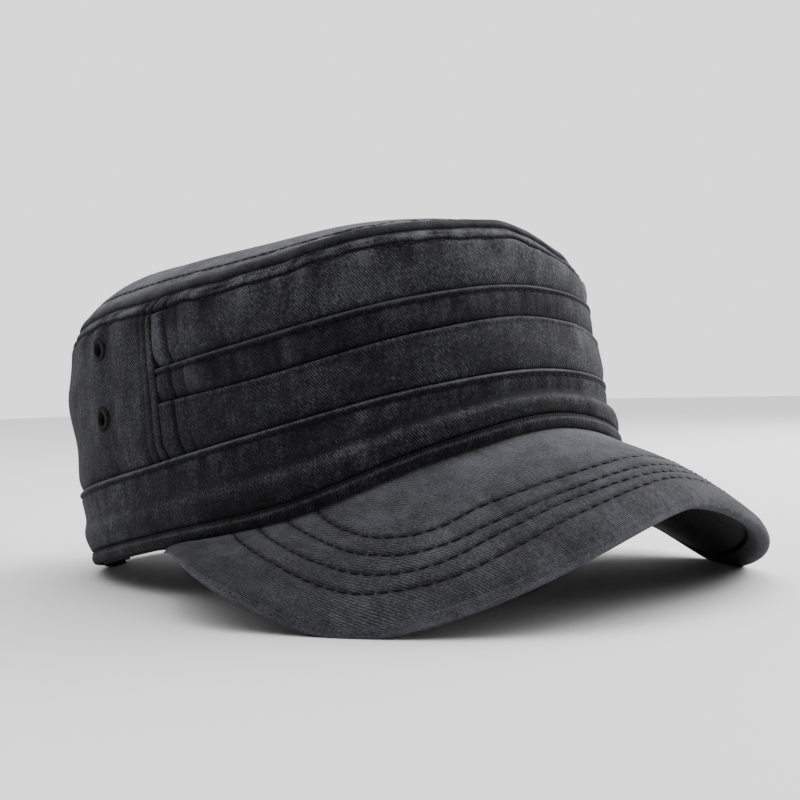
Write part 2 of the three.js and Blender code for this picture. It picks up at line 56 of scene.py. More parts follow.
# Heights round half the wall as shares of the crown's, and its belly, every 30 degrees from the front
EVERY = 30
SHARES = {
    "rim": [0.193, 0.129, 0.01, 0, 0, 0, 0],
    "bandTop": [0.418, 0.387, 0.335, 0.315, 0.315, 0.308, 0.299],
    "stripLow": [0.626, 0.583, 0.526, 0.538, 0.538, 0.538, 0.538],
    "stripHigh": [0.751, 0.718, 0.671, 0.673, 0.673, 0.673, 0.673],
    "crown": [0.988, 0.972, 0.928, 0.961, 1, 0.987, 0.963],
    "belly": [-0.2, -0.13, 0.04, 0.33, 0.64, 0.91, 1],
}
PEAK_HALF_WIDTH = RIM_HALF_WIDTH + 30.5
PEAK_REACH = RIM_HALF_LENGTH + 46.5
PEAK_CORNER, PEAK_SQUARENESS = 90, 2.37
PEAK_FRONT_DROP, PEAK_PITCH = 14.2, 0.353
PEAK_SIDE_DROP, PEAK_BEND = 55.2, 1.57
PEAK_THICK, PEAK_EDGE_THICK, PEAK_SWELL = 2.6, 4.6, 4
# Brings the crest of the peak's swell to about 1
SWELL_TO_CREST = 5.2


def held(x):
    return np.clip(x, 0, 1)


def spline(p, q, r, s, f):
    """From q to r, a share f of the way, on a smooth curve that p and s lead on."""
    bend, twist = 2 * p - 5 * q + 4 * r - s, 3 * (q - r) + s - p
    return q + 0.5 * f * (r - p + f * (bend + f * twist))


def unit(ways):
    return ways / np.maximum(np.linalg.norm(ways, axis=-1, keepdims=True), 1e-9)


def share_at(column, angle):
    k = SHARES[column]
    row = np.array([k[1]] + k + [k[-2]], float)
    a = np.minimum(np.abs(angle), 180) / EVERY
    i = np.minimum(np.floor(a).astype(int), len(k) - 2)
    f = a - i
    return spline(row[i], row[i + 1], row[i + 2], row[i + 3], f)


def height(column, angle):
    return CROWN_TALL * share_at(column, angle)


def crown_height(angle):
    wave = np.sin(np.pi * (np.clip(angle, 0, 90) / 90) ** SAG_LEAN) ** 2
    return height("crown", angle) - LEFT_SAG * wave


def oval(angle, w, l, squareness):
    s, c = np.sin(np.radians(angle)), np.cos(np.radians(angle))
    r = (np.abs(s) ** squareness + np.abs(c) ** squareness) ** (-1 / squareness)
    return w * s * r, -l * c * r


def wall_plan(angle, share):
    x0, y0 = oval(angle, RIM_HALF_WIDTH, RIM_HALF_LENGTH, RIM_SQUARENESS)
    x1, y1 = oval(angle, TOP_HALF_WIDTH, TOP_HALF_LENGTH, TOP_SQUARENESS)
    return x0 + (x1 - x0) * share, y0 + (y1 - TOP_FORWARD - y0) * share


def wall_point(angle, z, out):
    foot = height("rim", angle)
    share = (z - foot) / (crown_height(angle) - foot)
    x, y = wall_plan(angle, share)
    ax, ay = wall_plan(angle - 0.5, share)
    bx, by = wall_plan(angle + 0.5, share)
    length = np.hypot(bx - ax, by - ay)
    nx, ny = (by - ay) / length, -(bx - ax) / length
    swell = CROWN_BELLY * share_at("belly", angle) * np.sin(np.pi * held(share))
    return np.stack([x + nx * (swell + out), y + ny * (swell + out), z + 0 * x], -1)


LIFT = RIM_HALF_LENGTH * math.sin(LEAN_BACK) - SETTLE


def peak_root(u):
    angle = u * PEAK_CORNER
    return wall_point(angle, height("rim", angle) - GAP, -WALL / 2)


def peak_edge(u):
    corner = wall_point(np.array([PEAK_CORNER]), -2.5, 1.5)[0]
    power = 2 / PEAK_SQUARENESS
    turn = u * np.pi / 2
    across = np.sign(u) * np.abs(np.sin(turn)) ** power
    along = np.abs(np.cos(turn)) ** power
    q = np.abs(u)
    tuck = held((q - 0.75) / 0.25) ** 2
    x = PEAK_HALF_WIDTH * across - np.sign(u) * (PEAK_HALF_WIDTH - corner[0]) * tuck
    y = corner[1] - (PEAK_REACH + corner[1]) * along
    drop = PEAK_SIDE_DROP * np.abs(across) ** PEAK_BEND
    open_edge = -PEAK_FRONT_DROP + PEAK_PITCH * (y + PEAK_REACH) - drop
    b = held((q - 0.55) / 0.45)
    b = b * b * (3 - 2 * b)
    return np.stack([x, y, open_edge * (1 - b) + corner[2] * b], -1)


def peak_skin(u, v):
    a, b = peak_root(u), peak_edge(u)
    p = a + (b - a) * v[..., None]
    p[..., 2] += PEAK_SWELL * SWELL_TO_CREST * v**1.4 * (1 - v) * (1 - u**4)
    return p


def peak_normal(u, v):
    du = peak_skin(np.minimum(u + 0.01, 1), v) - peak_skin(np.maximum(u - 0.01, -1), v)
    dv = peak_skin(u, np.minimum(v + 0.02, 1)) - peak_skin(u, np.maximum(v - 0.02, 0))
    n = unit(np.cross(dv, du))
    return np.where(n[..., 2:] < 0, -n, n)


def peak_point(u, v, down):
    thin = 1 - 0.6 * np.abs(u) ** 6
    return peak_skin(u, v) - peak_normal(u, v) * (down * thin)[..., None]


def dome_point(angle, share, down):
    edge = wall_point(angle, crown_height(angle), -TOP_ROUNDING - 0.5)
    level = crown_height(np.array(90.0)) * (1 - share) + crown_height(angle) * share
    x, y = edge[..., 0] * share, -TOP_FORWARD + (edge[..., 1] + TOP_FORWARD) * share
    fuller = 1 + TOP_RISE_BEHIND * y / TOP_HALF_LENGTH - TOP_RISE_ASIDE * x / TOP_HALF_WIDTH
    z = level + TOP_RISE * (1 - share**5) * fuller + TOP_THICK - down
    return np.stack([x, y, z], -1)


# The middle of the laid cap, from front to back
MIDDLE_Y = -19.495


def rest(p, flat=False):
    """From millimetres in the upright cap to metres in the cap as it lies; flat keeps it on the floor."""
    y = p[..., 1] * math.cos(LEAN_BACK) + p[..., 2] * math.sin(LEAN_BACK)
    z = p[..., 2] * math.cos(LEAN_BACK) - p[..., 1] * math.sin(LEAN_BACK) + LIFT
    if flat:
        z = np.maximum(z, 0)
    return np.stack([p[..., 0], y - MIDDLE_Y, z], -1) / 1000


# Cloth in numbers

ROWS_AT_EDGE = np.array([0.0, 0.12, 0.3, 0.55, 0.85, 1.2, 1.5, 1.8, 2.1, 2.5, 3.0, 3.6, 4.3, 5.0])
ROWS_AT_CROWN = np.array(
    [0.0, 0.15, 0.35, 0.6, 0.9, 1.25, 1.6, 2.0, 2.4, 2.8, 3.15, 3.5, 3.85, 4.2, 4.55, 4.9, 5.3, 5.8, 6.5]
)
ROWS_AT_FOOT = np.array([4.0, 3.2, 2.5, 1.9, 1.4, 0.9, 0.6, 0.3])
# Painted shade: the tone of cloth that no light reaches, darker than the rest
UNSEEN = -0.8


def noise(x, y, seed, repeat=None):
    """Smooth noise between -1 and 1; repeat makes x come round again after that many steps."""
    grid = np.random.default_rng(seed).uniform(-1, 1, (97, 97))
    i, j = np.floor(x).astype(int), np.floor(y).astype(int)
    fx, fy = x - i, y - j
    fx, fy = fx * fx * (3 - 2 * fx), fy * fy * (3 - 2 * fy)
    turn = repeat or 97
    i0, i1, j0, j1 = i % turn % 97, (i + 1) % turn % 97, j % 97, (j + 1) % 97
    low = grid[i0, j0] * (1 - fx) + grid[i1, j0] * fx
    high = grid[i0, j1] * (1 - fx) + grid[i1, j1] * fx
    return low * (1 - fy) + high * fy


def through(knots, values, x):
    """A smooth curve through a short table."""
    knots, values = np.array(knots, float), np.array(values, float)
    i = np.clip(np.searchsorted(knots, x) - 1, 0, len(knots) - 2)
    slope = np.gradient(values, knots)
    h = knots[i + 1] - knots[i]
    f = held((x - knots[i]) / h)
    a, b = values[i], values[i + 1]
    return (
        a * (1 + 2 * f) * (1 - f) ** 2
        + slope[i] * h * f * (1 - f) ** 2
        + b * f * f * (3 - 2 * f)
        - slope[i + 1] * h * f * f * (1 - f)
    )


def bump(x, width=1):
    return np.exp(-((x / width) ** 2))


def lengths_along(places):
    return np.concatenate([[0], np.cumsum(np.linalg.norm(np.diff(places, axis=0), axis=1))])


ARC_ANGLES = np.linspace(-180, 180, 1441)
ARC_LENGTHS = lengths_along(wall_point(ARC_ANGLES, 40.0, 0))
ARC_WHOLE = ARC_LENGTHS[-1]


def arc(angle):
    """Length round the wall from the middle front, in millimetres."""
    return np.interp(angle, ARC_ANGLES, ARC_LENGTHS) - ARC_WHOLE / 2


def lumps(s, size, seed):
    """Gathers along a seam: lumps of about this size in millimetres, alike all the way round."""
    count = max(3, round(ARC_WHOLE / size))
    x = s * count / ARC_WHOLE
    return noise(x, 0.5, seed, count) + 0.6 * noise(2 * x + 0.5, 0.5, seed + 1, 2 * count)


def rumple(s, z, seed):
    """Slow hollows and swells over a whole panel."""
    slow = noise(s / 34, z / 26, seed)
    quick = noise(s / 13 + 0.3 * z / 13, z / 17, seed + 1)
    return 0.55 * slow + 0.25 * quick


# Meshes


def grid_piece(name, points, weave, tone, flat=False):
    """A cloth grid: columns by rows of places, its weave coordinates, and its tone: real fading and rubbing
    together with painted light and shade.
    """
    columns, rows = points.shape[0] - 1, points.shape[1] - 1
    bm = bmesh.new()
    bmesh.ops.create_grid(bm, x_segments=columns, y_segments=rows, size=0.5)
    mesh = mesh_of(name, bm)
    spots = np.empty(len(mesh.vertices) * 3)
    mesh.vertices.foreach_get("co", spots)
    spots = spots.reshape(-1, 3)
    i = np.rint((spots[:, 0] + 0.5) * columns).astype(int)
    j = np.rint((spots[:, 1] + 0.5) * rows).astype(int)
    mesh.vertices.foreach_set("co", rest(points, flat)[i, j].ravel())
    corners = np.empty(len(mesh.loops), np.int32)
    mesh.loops.foreach_get("vertex_index", corners)
    layer = mesh.uv_layers.new(name="weave")
    layer.data.foreach_set("uv", (weave / 1000)[i[corners], j[corners]].ravel())
    wear_and_painted_light = mesh.attributes.new("wear_and_painted_light", "FLOAT", "POINT")
    wear_and_painted_light.data.foreach_set("value", np.broadcast_to(tone, points.shape[:2])[i, j].ravel())
    bm = bmesh.new()
    bm.from_mesh(mesh)
    bmesh.ops.remove_doubles(bm, verts=bm.verts, dist=2e-6)
    loose = [e for e in bm.edges if e.is_boundary]
    if loose:
        bmesh.ops.holes_fill(bm, edges=loose, sides=0)
    bmesh.ops.recalc_face_normals(bm, faces=bm.faces)
    bm.to_mesh(mesh)
    bm.free()
    return smooth_piece(name, mesh)


def mesh_of(name, bm):
    mesh = bpy.data.meshes.new(name)
    bm.to_mesh(mesh)
    bm.free()
    return mesh


def link(name, mesh):
    piece = bpy.data.objects.new(name, mesh)
    bpy.context.scene.collection.objects.link(piece)
    return piece


def smooth_piece(name, mesh):
    mesh.shade_smooth()
    return link(name, mesh)


def dress(piece, material, slot, *nodes):
    piece.data.materials.clear()
    piece.data.materials.append(material)
    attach(piece, "root")
    if nodes:
        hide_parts(*nodes)


def stitch_row(name, line, ups, length, gap, thick):
    """One row of sewn stitches along a line of places, each a slim bead laid along the cloth."""
    run = lengths_along(line) * 1000
    count = max(1, int(run[-1] // (length + gap)))
    pitch = run[-1] / count
    bead = bmesh.new()
    bmesh.ops.create_uvsphere(bead, u_segments=6, v_segments=5, radius=0.5)
    bmesh.ops.rotate(bead, matrix=Matrix.Rotation(math.pi / 2, 3, "Y"), verts=bead.verts)
    shape = mesh_of(name + "_bead", bead)
    bm = bmesh.new()
    for k in range(count):
        at = (k + 0.5) * pitch
        places = (at - 0.4 * pitch, at, at + 0.4 * pitch)
        spots = [[np.interp(d, run, line[:, c]) for c in range(3)] for d in places]
        up = Vector([float(np.interp(at, run, ups[:, c])) for c in range(3)]).normalized()
        along = Vector(spots[2]) - Vector(spots[0])
        along = (along - up * along.dot(up)).normalized()
        side = up.cross(along)
        turned = Matrix((along * (length / 1000), side * (thick * 0.9 / 1000), up * (thick / 1000)))
        one = shape.copy()
        one.transform(Matrix.Translation(Vector(spots[1])) @ turned.transposed().to_4x4())
        bm.from_mesh(one)
        bpy.data.meshes.remove(one)
    bpy.data.meshes.remove(shape)
    return smooth_piece(name, mesh_of(name, bm))


# Panels of the wall

CROWN_STITCH_DROP = 4.0
CROWN_STITCH_INSET = 5.4
EDGE_STITCH = 1.9
SEAM_STITCH_FRONT = 81.4
SEAM_STITCH_BACK = 88.7
# Millimetres of wall to a degree, at the side and at the back
SIDE_SCALE, BACK_SCALE = 1.4, 1.65


def groove(distance, deep, wide):
    return -deep * bump(distance, wide)


def crown_edge(angle):
    """The crown's puckered edge, which wanders up and down a little."""
    return crown_height(angle) + 0.45 * lumps(arc(angle), 12, 55)


def crown_stitch(s):
    """How far under the crown's edge the puckered stitch line runs."""
    return CROWN_STITCH_DROP + 0.75 * lumps(s, 15, 51)


def crown_zone(s, below, out, tone):
    """The seam at the crown: gathers like a rope down to its stitches, and puckers that fade below."""
    line = crown_stitch(s)
    share, past = below / line, below - line
    roll = bump(share - 0.5, 0.34)
    gather = lumps(s + 0.9 * below, 4.8, 61)
    crease = 0.5 + 0.22 * lumps(s, 15, 65)
    strand = bump(share - crease, 0.11) * held(0.45 + lumps(s, 19, 67))
    out = out - 3.0 * (1 - held(below / 7)) ** 2
    out = out + (0.4 + 0.6 * gather) * roll - 0.45 * strand + groove(past, 0.85, 0.6)
    pucker = 1.1 * lumps(s + 0.45 * past, 8.5, 63) * np.exp(-np.abs(past) / 7.5) * (1 - bump(past, 0.35))
    under = np.where(past > 0, pucker, 0)
    # painted light and shade: the rope's gathers and the puckers below are painted lighter where they swell,
    # the crease along the strands, the stitch groove and the top under the crown's edge painted darker as
    # shade
    tone = tone + roll * (0.35 + 1.5 * gather) - 0.9 * strand - 1.3 * bump(past, 0.65)
    tone = tone - bump(below, 0.6) + 1.2 * under
    return out + under, tone


def side_seam_zone(angle, z, out, tone, front, below=None):
    """The folded and topstitched edges at the side seam, with painted shade at the top where the seams
    cross.
    """
    away = np.abs(np.abs(angle) - SIDE_SEAM) * SIDE_SCALE
    line = abs((SEAM_STITCH_FRONT if front else SEAM_STITCH_BACK) - SIDE_SEAM) * SIDE_SCALE
    side = np.where(angle < 0, 0, 40)
    wander = 0.5 * noise(z / 14 + side, 0.5, 75)
    gather = noise(z / 6.5 + side + 0.12 * away, 0.5, 71)
    roll = bump(away - 0.5 * line, 0.36 * line)
    out = out - 0.4 * (1 - held(away / 0.9)) ** 2
    out = out + 0.16 * roll + 0.28 * roll * gather + groove(away - line - wander, 0.5, 0.6)
    folds = noise(away / 3.4 + 0.03 * z, z / 40 + side, 73) * np.exp(-np.clip(away - line, 0, 99) / 8)
    second = bump(away - 1.8 * line - 1.5 * wander, 0.7) * held(0.6 + noise(z / 12 + side, 2.5, 77))
    out = out + np.where(away > line, 0.5 * folds, 0) - 0.3 * second
    # painted light and shade: the rolls and folds lighter where they swell, the stitch groove, the seam and
    # the second crease painted darker as shade
    tone = tone + 0.3 * roll * (0.4 + gather) - bump(away - line - wander, 0.7) - 1.1 * bump(away, 0.6)
    tone = tone + np.where(away > line, 0.25 * folds, 0) - 0.5 * second
    # painted shade at the top, under the crown seam, where the seams cross
    if below is not None:
        tone = tone - 1.15 * np.exp(-((away / (2.1 * line)) ** 4)) * held(1.5 - below / 9)
    return out, tone


def middle_seam_zone(angle, z, out, tone):
    """The plain seam down the middle of the back."""
    away = (180 - np.abs(angle)) * BACK_SCALE
    pucker = noise(z / 5.5, 0.5, 79) * bump(away - 1.6, 1.6)
    out = out - 0.5 * (1 - held(away / 1.1)) ** 2 + 0.18 * pucker
    # painted shade in the seam and painted light on its puckers
    return out, tone - bump(away, 0.6) + 0.3 * pucker


def fade_and_painted_light(a, z):
    """Painted light, partly real washing fade: lighter high up, as if lit from above, and at the left temple
    where the light falls, darker low down and at the middle front, which faces away from the light.
    """
    high = 0.013 * (z - 52) * np.clip((115 - np.abs(a)) / 30, 0.1, 1)
    return high + 0.75 * held((a - 22) / 22) * held((z - 45) / 15) - 0.25 * bump(a / 22)


def edge_roll(s, below, out, tone, seed, strength=1.0):
    """A folded top edge, rubbed light and given a painted highlight, with its stitches just under it in
    painted shade, and short puckers below with painted light and shade.
    """
    out = out - 0.45 * (1 - held(below / 0.9)) ** 2
    out = out + 0.42 * strength * bump(below - 0.85, 0.75) + groove(below - EDGE_STITCH, 0.5 * strength, 0.5)
    down = np.clip(below - EDGE_STITCH, 0, 99)
    pucker = lumps(s + 0.12 * below, 3.6, seed) * np.exp(-down / 5.5) * held(down / 0.8)
    out = out + 0.42 * strength * pucker
    # painted highlight along the fold, partly real rubbing; painted shade in the stitch groove under it;
    # painted light and shade on the puckers
    light = 2.0 * bump(below - 0.5, 0.42) * (0.75 + 0.35 * lumps(s, 9, seed + 3))
    tone = tone + strength * (light - 1.1 * bump(below - EDGE_STITCH - 0.1, 0.6)) + 0.6 * strength * pucker
    return out, tone


def foot_tuck(above, out, tone, deep=STEP_IN):
    out = out - deep * (1 - held((above - GAP) / 5.5)) ** 1.6
    out = np.where(above <= GAP + 1e-6, -STEP_IN, out)
    # painted shade where the foot tucks in under the next panel's folded edge
    return out, tone - 0.75 * bump(above, 1.3)


def panel(name, angles, top, low, face, middle_rows, back_rows, slant=None, lip_out=-LIP, bend=None):
    """One cloth panel with its turned edges: dense rows on the face, a few behind it."""
    top, low = top[:, None], low[:, None]
    edge_rows = ROWS_AT_EDGE if lip_out == -LIP else ROWS_AT_CROWN
    span = top - low - edge_rows[-1] - ROWS_AT_FOOT[0]
    between = np.linspace(0, 1, middle_rows + 2)[None, 1:-1]
    middle = top - edge_rows[-1] - span * between
    z = np.concatenate([top - edge_rows[None], middle, low + ROWS_AT_FOOT[None]], 1)
    a = np.broadcast_to(angles[:, None], z.shape)
    s = arc(a)
    out, tone = face(a, s, z, top - z, z - low)
    # painted light and real fade over the whole panel
    tone = tone + fade_and_painted_light(a, z)
    lip = 0 * top + lip_out
    zs = np.concatenate([top, z] + [rise(top, low) for rise, _ in back_rows] + [top], 1)
    outs = np.concatenate([lip, out] + [0 * top + away for _, away in back_rows] + [lip], 1)
    tones = np.concatenate([tone[:, :1], tone] + [0 * top + UNSEEN] * (len(back_rows) + 1), 1)
    a = np.broadcast_to(angles[:, None], zs.shape)
    turned = a + (slant(a) * SEAM_SLANT * outs / WALL if slant else 0)
    turned = bend(turned, zs) if bend else turned
    points = wall_point(turned, zs, outs)
    return grid_piece(name, points, np.stack([arc(a), zs], -1), tones)


# The rows behind a panel: each one's height from its top and foot, and how far out it lies
BEHIND = [
    (lambda t, l: l - LIP_TALL + 1.3 * GAP, -STEP_IN),
    (lambda t, l: l - LIP_TALL + 1.3 * GAP, -WALL),
    (lambda t, l: (t + l) / 2, -WALL),
]
BEHIND_TIER = BEHIND + [(lambda t, l: t - LIP_TALL - GAP, -WALL), (lambda t, l: t - LIP_TALL - GAP, -LIP)]
BEHIND_CROWN = BEHIND + [(lambda t, l: t - 7, -WALL), (lambda t, l: t, -WALL - TOP_ROUNDING)]


def front_slant(a):
    return np.sign(a) * np.abs(a / SIDE_SEAM) ** 6


def back_slant(a):
    at_side = np.maximum(0, 1 - (np.abs(a) - SIDE_SEAM) / 20)
    return np.sign(a) * at_side + np.maximum(0, (np.abs(a) - 160) / 20)


near_seam = np.arange(0, 9, 0.3)
front_middle = np.linspace(-77, 77, 309)
FRONT_ANGLES = np.concatenate([near_seam - SIDE_SEAM, front_middle, SIDE_SEAM - near_seam[::-1]])
CROWN_LIP = -TOP_ROUNDING - 1


def upper_face(a, s, z, below, above):
    out = 0.35 * rumple(s, z, 11)
    tone = 0.25 * noise(s / 21, z / 15, 12)
    dents = noise((s + 0.9 * below) / 15, below / 30, 13) * held(below / 9)
    # painted light on the dents: lighter where they swell
    out, tone = out + 0.45 * dents, tone + 0.3 * dents
    out, tone = crown_zone(s, below, out, tone)
    out, tone = foot_tuck(above, out, tone)
    return side_seam_zone(a, z, out, tone, True, below)


def strip_face(a, s, z, below, above):
    folds = lumps(s, 7.5, 21) * np.sin(np.pi * held(below / (below + above)))
    out = 0.35 * folds + 0.15 * rumple(s, z, 22)
    # painted light on the folds: lighter where they swell, darker in their hollows
    tone = 0.45 * folds + 0.15 * noise(s / 16, z / 9, 23)
    out, tone = edge_roll(s, below, out, tone, 25)
    out, tone = foot_tuck(above, out, tone, 1.0)
    return side_seam_zone(a, z, out, tone, True)


def middle_face(a, s, z, below, above):
    wave = lumps(s - 0.1 * z, 10.5, 31) * bump((a - 25) / 30)
    wave = wave + 0.5 * lumps(s, 12.5, 33) * bump((a + 75) / 16)
    out = 0.3 + 0.55 * wave * held(above / 8) + 0.35 * rumple(s, z, 34)
    # painted light on the waves: lighter where they swell, darker in their hollows
    tone = 0.4 * wave + 0.25 * noise(s / 19, z / 12, 35)
    out, tone = edge_roll(s, below, out, tone, 37, 0.25)
    out, tone = foot_tuck(above, out, tone)
    return side_seam_zone(a, z, out, tone, True)


def back_face(a, s, z, below, above):
    folds = noise(np.abs(s) / 9, z / 55 + np.where(a < 0, 0, 9), 41) * bump((np.abs(a) - 96) / 14)
    out = 0.8 * folds + 0.5 * rumple(s, z, 42)
    # painted light on the folds: lighter where they swell, darker in their hollows
    tone = 0.35 * folds + 0.3 * noise(s / 17, z / 24, 43)
    out = out + 1.2 * bump((a + 126) / 14) * (bump((z - 61) / 8) - bump((z - 43) / 8))
    out, tone = crown_zone(s, below, out, tone)
    out, tone = middle_seam_zone(a, z, out, tone)
    out, tone = foot_tuck(above, out, tone)
    return side_seam_zone(a, z, out, tone, False, below)


def band_face(a, s, z, below, above):
    tall = below + above
    share = above / tall
    fold = 0.3 + 1.1 * np.cos(np.radians(a / 2)) ** 4
    knots = [0, 0.05, 0.14, 0.28, 0.4, 0.47, 0.55, 0.68, 0.82, 1]
    sink = through(knots, [-0.25, 0.2, 0.65, 0.95, 0.62, -0.35, -1.0, -0.7, -0.3, 0], share)
    out = sink * fold + 0.25 * rumple(s, z, 81)
    # painted light: the band lighter towards the back, where the light falls, and its fold lighter on the
    # crest and darker in the hollow above it
    tone = 0.2 * noise(s / 18, z / 9, 82) + 0.35 * held((np.abs(a) - 95) / 20)
    tone = tone + 0.55 * fold * (bump(share - 0.36, 0.07) - bump(share - 0.5, 0.06))
    swell, hollow = bump((a + 122) / 18) * bump((above - 6) / 5), bump((a - 52) / 14) * share
    out = out + 1.2 * (swell - hollow)
    low_lumps = lumps(s, 6.2, 83) * bump(above / 5)
    # painted light on the lumps low on the band and the puckers under its top edge, lighter where they swell
    out, tone = out + 0.22 * low_lumps, tone + 0.3 * low_lumps
    out, tone = edge_roll(s, below, out, tone, 85)
    strong = bump((a - 22) / 26)
    deep = lumps(s, 5.2, 87) * strong * np.exp(-below / 7) * held((below - 2) / 2)
    out, tone = out + 0.45 * deep, tone + 0.45 * deep
    out = out - 0.3 * (1 - held(above / 1.5)) ** 2
    out = np.where(above <= GAP + 1e-6, -STEP_IN, out)
    # painted shade at the foot, above the hem
    return out, tone - bump(above, 0.8)


# The opening at the back

ARCH_HALF_WIDTH, ARCH_TALL, ARCH_BINDING, ARCH_FOOT = 36, 38, 5, 1.5
STRAP_TALL, STRAP_THICK, STRAP_LAP, STRAP_ABOVE_RIM, STRAP_OUT = 18, 1.6, 8, 4, 1.4
ARCH_OUTER = ARCH_HALF_WIDTH + ARCH_BINDING + GAP


def back_angle(x, z):
    """The angle at which the back of the wall is x from the middle, by halving."""
    x, z = np.broadcast_arrays(np.asarray(x, float), np.asarray(z, float))
    near, far = np.full(x.shape, 110.0), np.full(x.shape, 180.0)
    for _ in range(26):
        half = (near + far) / 2
        outside = wall_point(half, z, 0 * z)[..., 0] > x
        near, far = np.where(outside, half, near), np.where(outside, far, half)
    return far


def arch_line(share, half, tall):
    turn = np.pi * share
    x = half * np.cos(turn) * np.abs(np.cos(turn)) ** 0.25
    return x, ARCH_FOOT + (tall - ARCH_FOOT) * np.sin(turn) ** 0.7


ARCH_X, ARCH_Z = arch_line(np.linspace(0, 0.5, 181), ARCH_OUTER, ARCH_TALL + ARCH_BINDING + GAP)


def arch_height(x):
    """Height of the opening's bound edge at this distance from the middle, 0 outside it."""
    return np.interp(np.abs(x), ARCH_X[::-1], ARCH_Z[::-1], right=0)


def arch_reach(z):
    return np.interp(z, ARCH_Z, ARCH_X)


OPEN_ANGLE = float(back_angle(ARCH_OUTER + 2.5 * GAP, 0))


def to_arch(angle, z):
    """Leans the ends of the band, hem and sweatband so that they meet the arch at every height."""
    edge = back_angle(arch_reach(np.clip(z, 0, 40)) + 2.5 * GAP, z)
    share = held((np.abs(angle) - 120) / (OPEN_ANGLE - 120)) ** 1.5
    return angle + np.sign(angle) * (edge - OPEN_ANGLE) * share


def back_low(angle):
    low = height("bandTop", angle)
    for _ in range(3):
        x = wall_point(angle, low, 0 * low)[..., 0]
        low = np.maximum(height("bandTop", angle), arch_height(x))
    return low


# Materials


def add_node(tree, kind, **values):
    """A shader node; each value is a setting, a number for a socket, or an output to join to it."""
    node = tree.nodes.new("ShaderNode" + kind)
    for key, value in values.items():
        if key not in node.inputs:
            setattr(node, key, value)
        elif isinstance(value, bpy.types.NodeSocket):
            tree.links.new(value, node.inputs[key])
        else:
            node.inputs[key].default_value = value
    return node


def sum_of(tree, *values, how="ADD", clamp=False):
    node = add_node(tree, "Math", operation=how, use_clamp=clamp)
    for socket, value in zip(node.inputs, values):
        if isinstance(value, bpy.types.NodeSocket):
            tree.links.new(value, socket)
        else:
            socket.default_value = value
    return node.outputs[0]


def scaled(tree, value, by, offset=0.0):
    return sum_of(tree, value, by, offset, how="MULTIPLY_ADD")


def blank_material(name):
    material = bpy.data.materials.new(name)
    material.use_nodes = True
    material.node_tree.nodes.clear()
    return material, material.node_tree


def add_ramp(tree, value, first, last, *between):
    """The colours over this value; each stop is a place and a colour."""
    ramp = add_node(tree, "ValToRGB", Fac=value)
    steps = ramp.color_ramp.elements
    for step, (place, colour) in zip(steps, (first, last)):
        step.position, step.color = place, (*colour, 1)
    for place, colour in between:
        steps.new(place).color = (*colour, 1)
    return ramp.outputs[0]


def finish_material(tree, colour, relief, strength, distance, **values):
    """The shader with its colour and relief, joined to the output."""
    raised = add_node(tree, "Bump", Strength=strength, Distance=distance, Height=relief).outputs[0]
    shader = add_node(tree, "BsdfPrincipled", Normal=raised, **{"Base Color": colour}, **values)
    add_node(tree, "OutputMaterial", Surface=shader.outputs[0])


def washed_twill(name, dark, middle, light, turn, pitch=1.0, contrast=1.0, mottle=1.0):
    """Washed denim: diagonal ribs broken into yarns, slow mottling, and the mesh's tone of real fading and
    rubbing together with painted light and shade.
    """
    material, tree = blank_material(name)
    cloth = add_node(tree, "UVMap", uv_map="weave").outputs[0]
    body = add_node(tree, "TexCoord").outputs["Object"]
    wear_and_painted_light = add_node(tree, "Attribute", attribute_type="GEOMETRY", attribute_name="wear_and_painted_light").outputs["Fac"]
    turned = add_node(tree, "Mapping", Rotation=(0, 0, math.radians(turn)), Vector=cloth).outputs[0]
    broken = {"Distortion": 2.0, "Detail": 2.0, "Detail Scale": 1.3, "Detail Roughness": 0.6}
    ribs = add_node(tree, "TexWave", Scale=314 / pitch, Vector=turned, **broken)

    def spots(source, scale, detail, rough, stretch=None):
        if stretch:
            source = add_node(tree, "Mapping", Scale=stretch, Vector=source).outputs[0]
        noisy = add_node(tree, "TexNoise", Scale=scale, Detail=detail, Roughness=rough, Vector=source)
        return noisy.outputs["Fac"]

    yarns = spots(turned, 1350 / pitch, 2.0, 0.7, (1.0, 0.45, 1))
    slubs = spots(cloth, 520, 2.0, 0.6, (1.0, 0.25, 1))
    cloud = spots(body, 34, 3.0, 0.6)
    patch = spots(body, 150, 4.0, 0.68)
    limits = {"From Min": 0.38, "From Max": 0.6, "To Min": 0.25, "To Max": 1.0}
    fade = add_node(tree, "MapRange", Value=spots(body, 95, 3.0, 0.6), **limits)
    ribbed = sum_of(tree, scaled(tree, ribs.outputs["Fac"], 1, -0.5), fade.outputs[0], how="MULTIPLY")
    weave = sum_of(tree, scaled(tree, ribbed, 0.65, 0.5), scaled(tree, yarns, 1.6, -0.8))
    shade = scaled(tree, weave, 0.62 * contrast, 0.5 - 0.31 * contrast)
    for value, by in ((slubs, 0.35), (cloud, 0.8 * mottle), (patch, 0.95 * mottle)):
        shade = sum_of(tree, shade, scaled(tree, value, by, -by / 2))
    # the mesh's tone, partly painted light and shade, moves the colour lighter or darker
    shade = sum_of(tree, shade, scaled(tree, wear_and_painted_light, 0.34), clamp=True)
    colour = add_ramp(tree, shade, (0.12, dark), (0.95, light), (0.5, middle))
    relief = sum_of(tree, weave, scaled(tree, patch, 0.5))
    soft = {"Specular IOR Level": 0.06, "Sheen Weight": 0.06, "Sheen Roughness": 0.55}
    finish_material(tree, colour, relief, 0.6, 0.0003, Roughness=scaled(tree, shade, -0.08, 0.95), **soft)
    return material


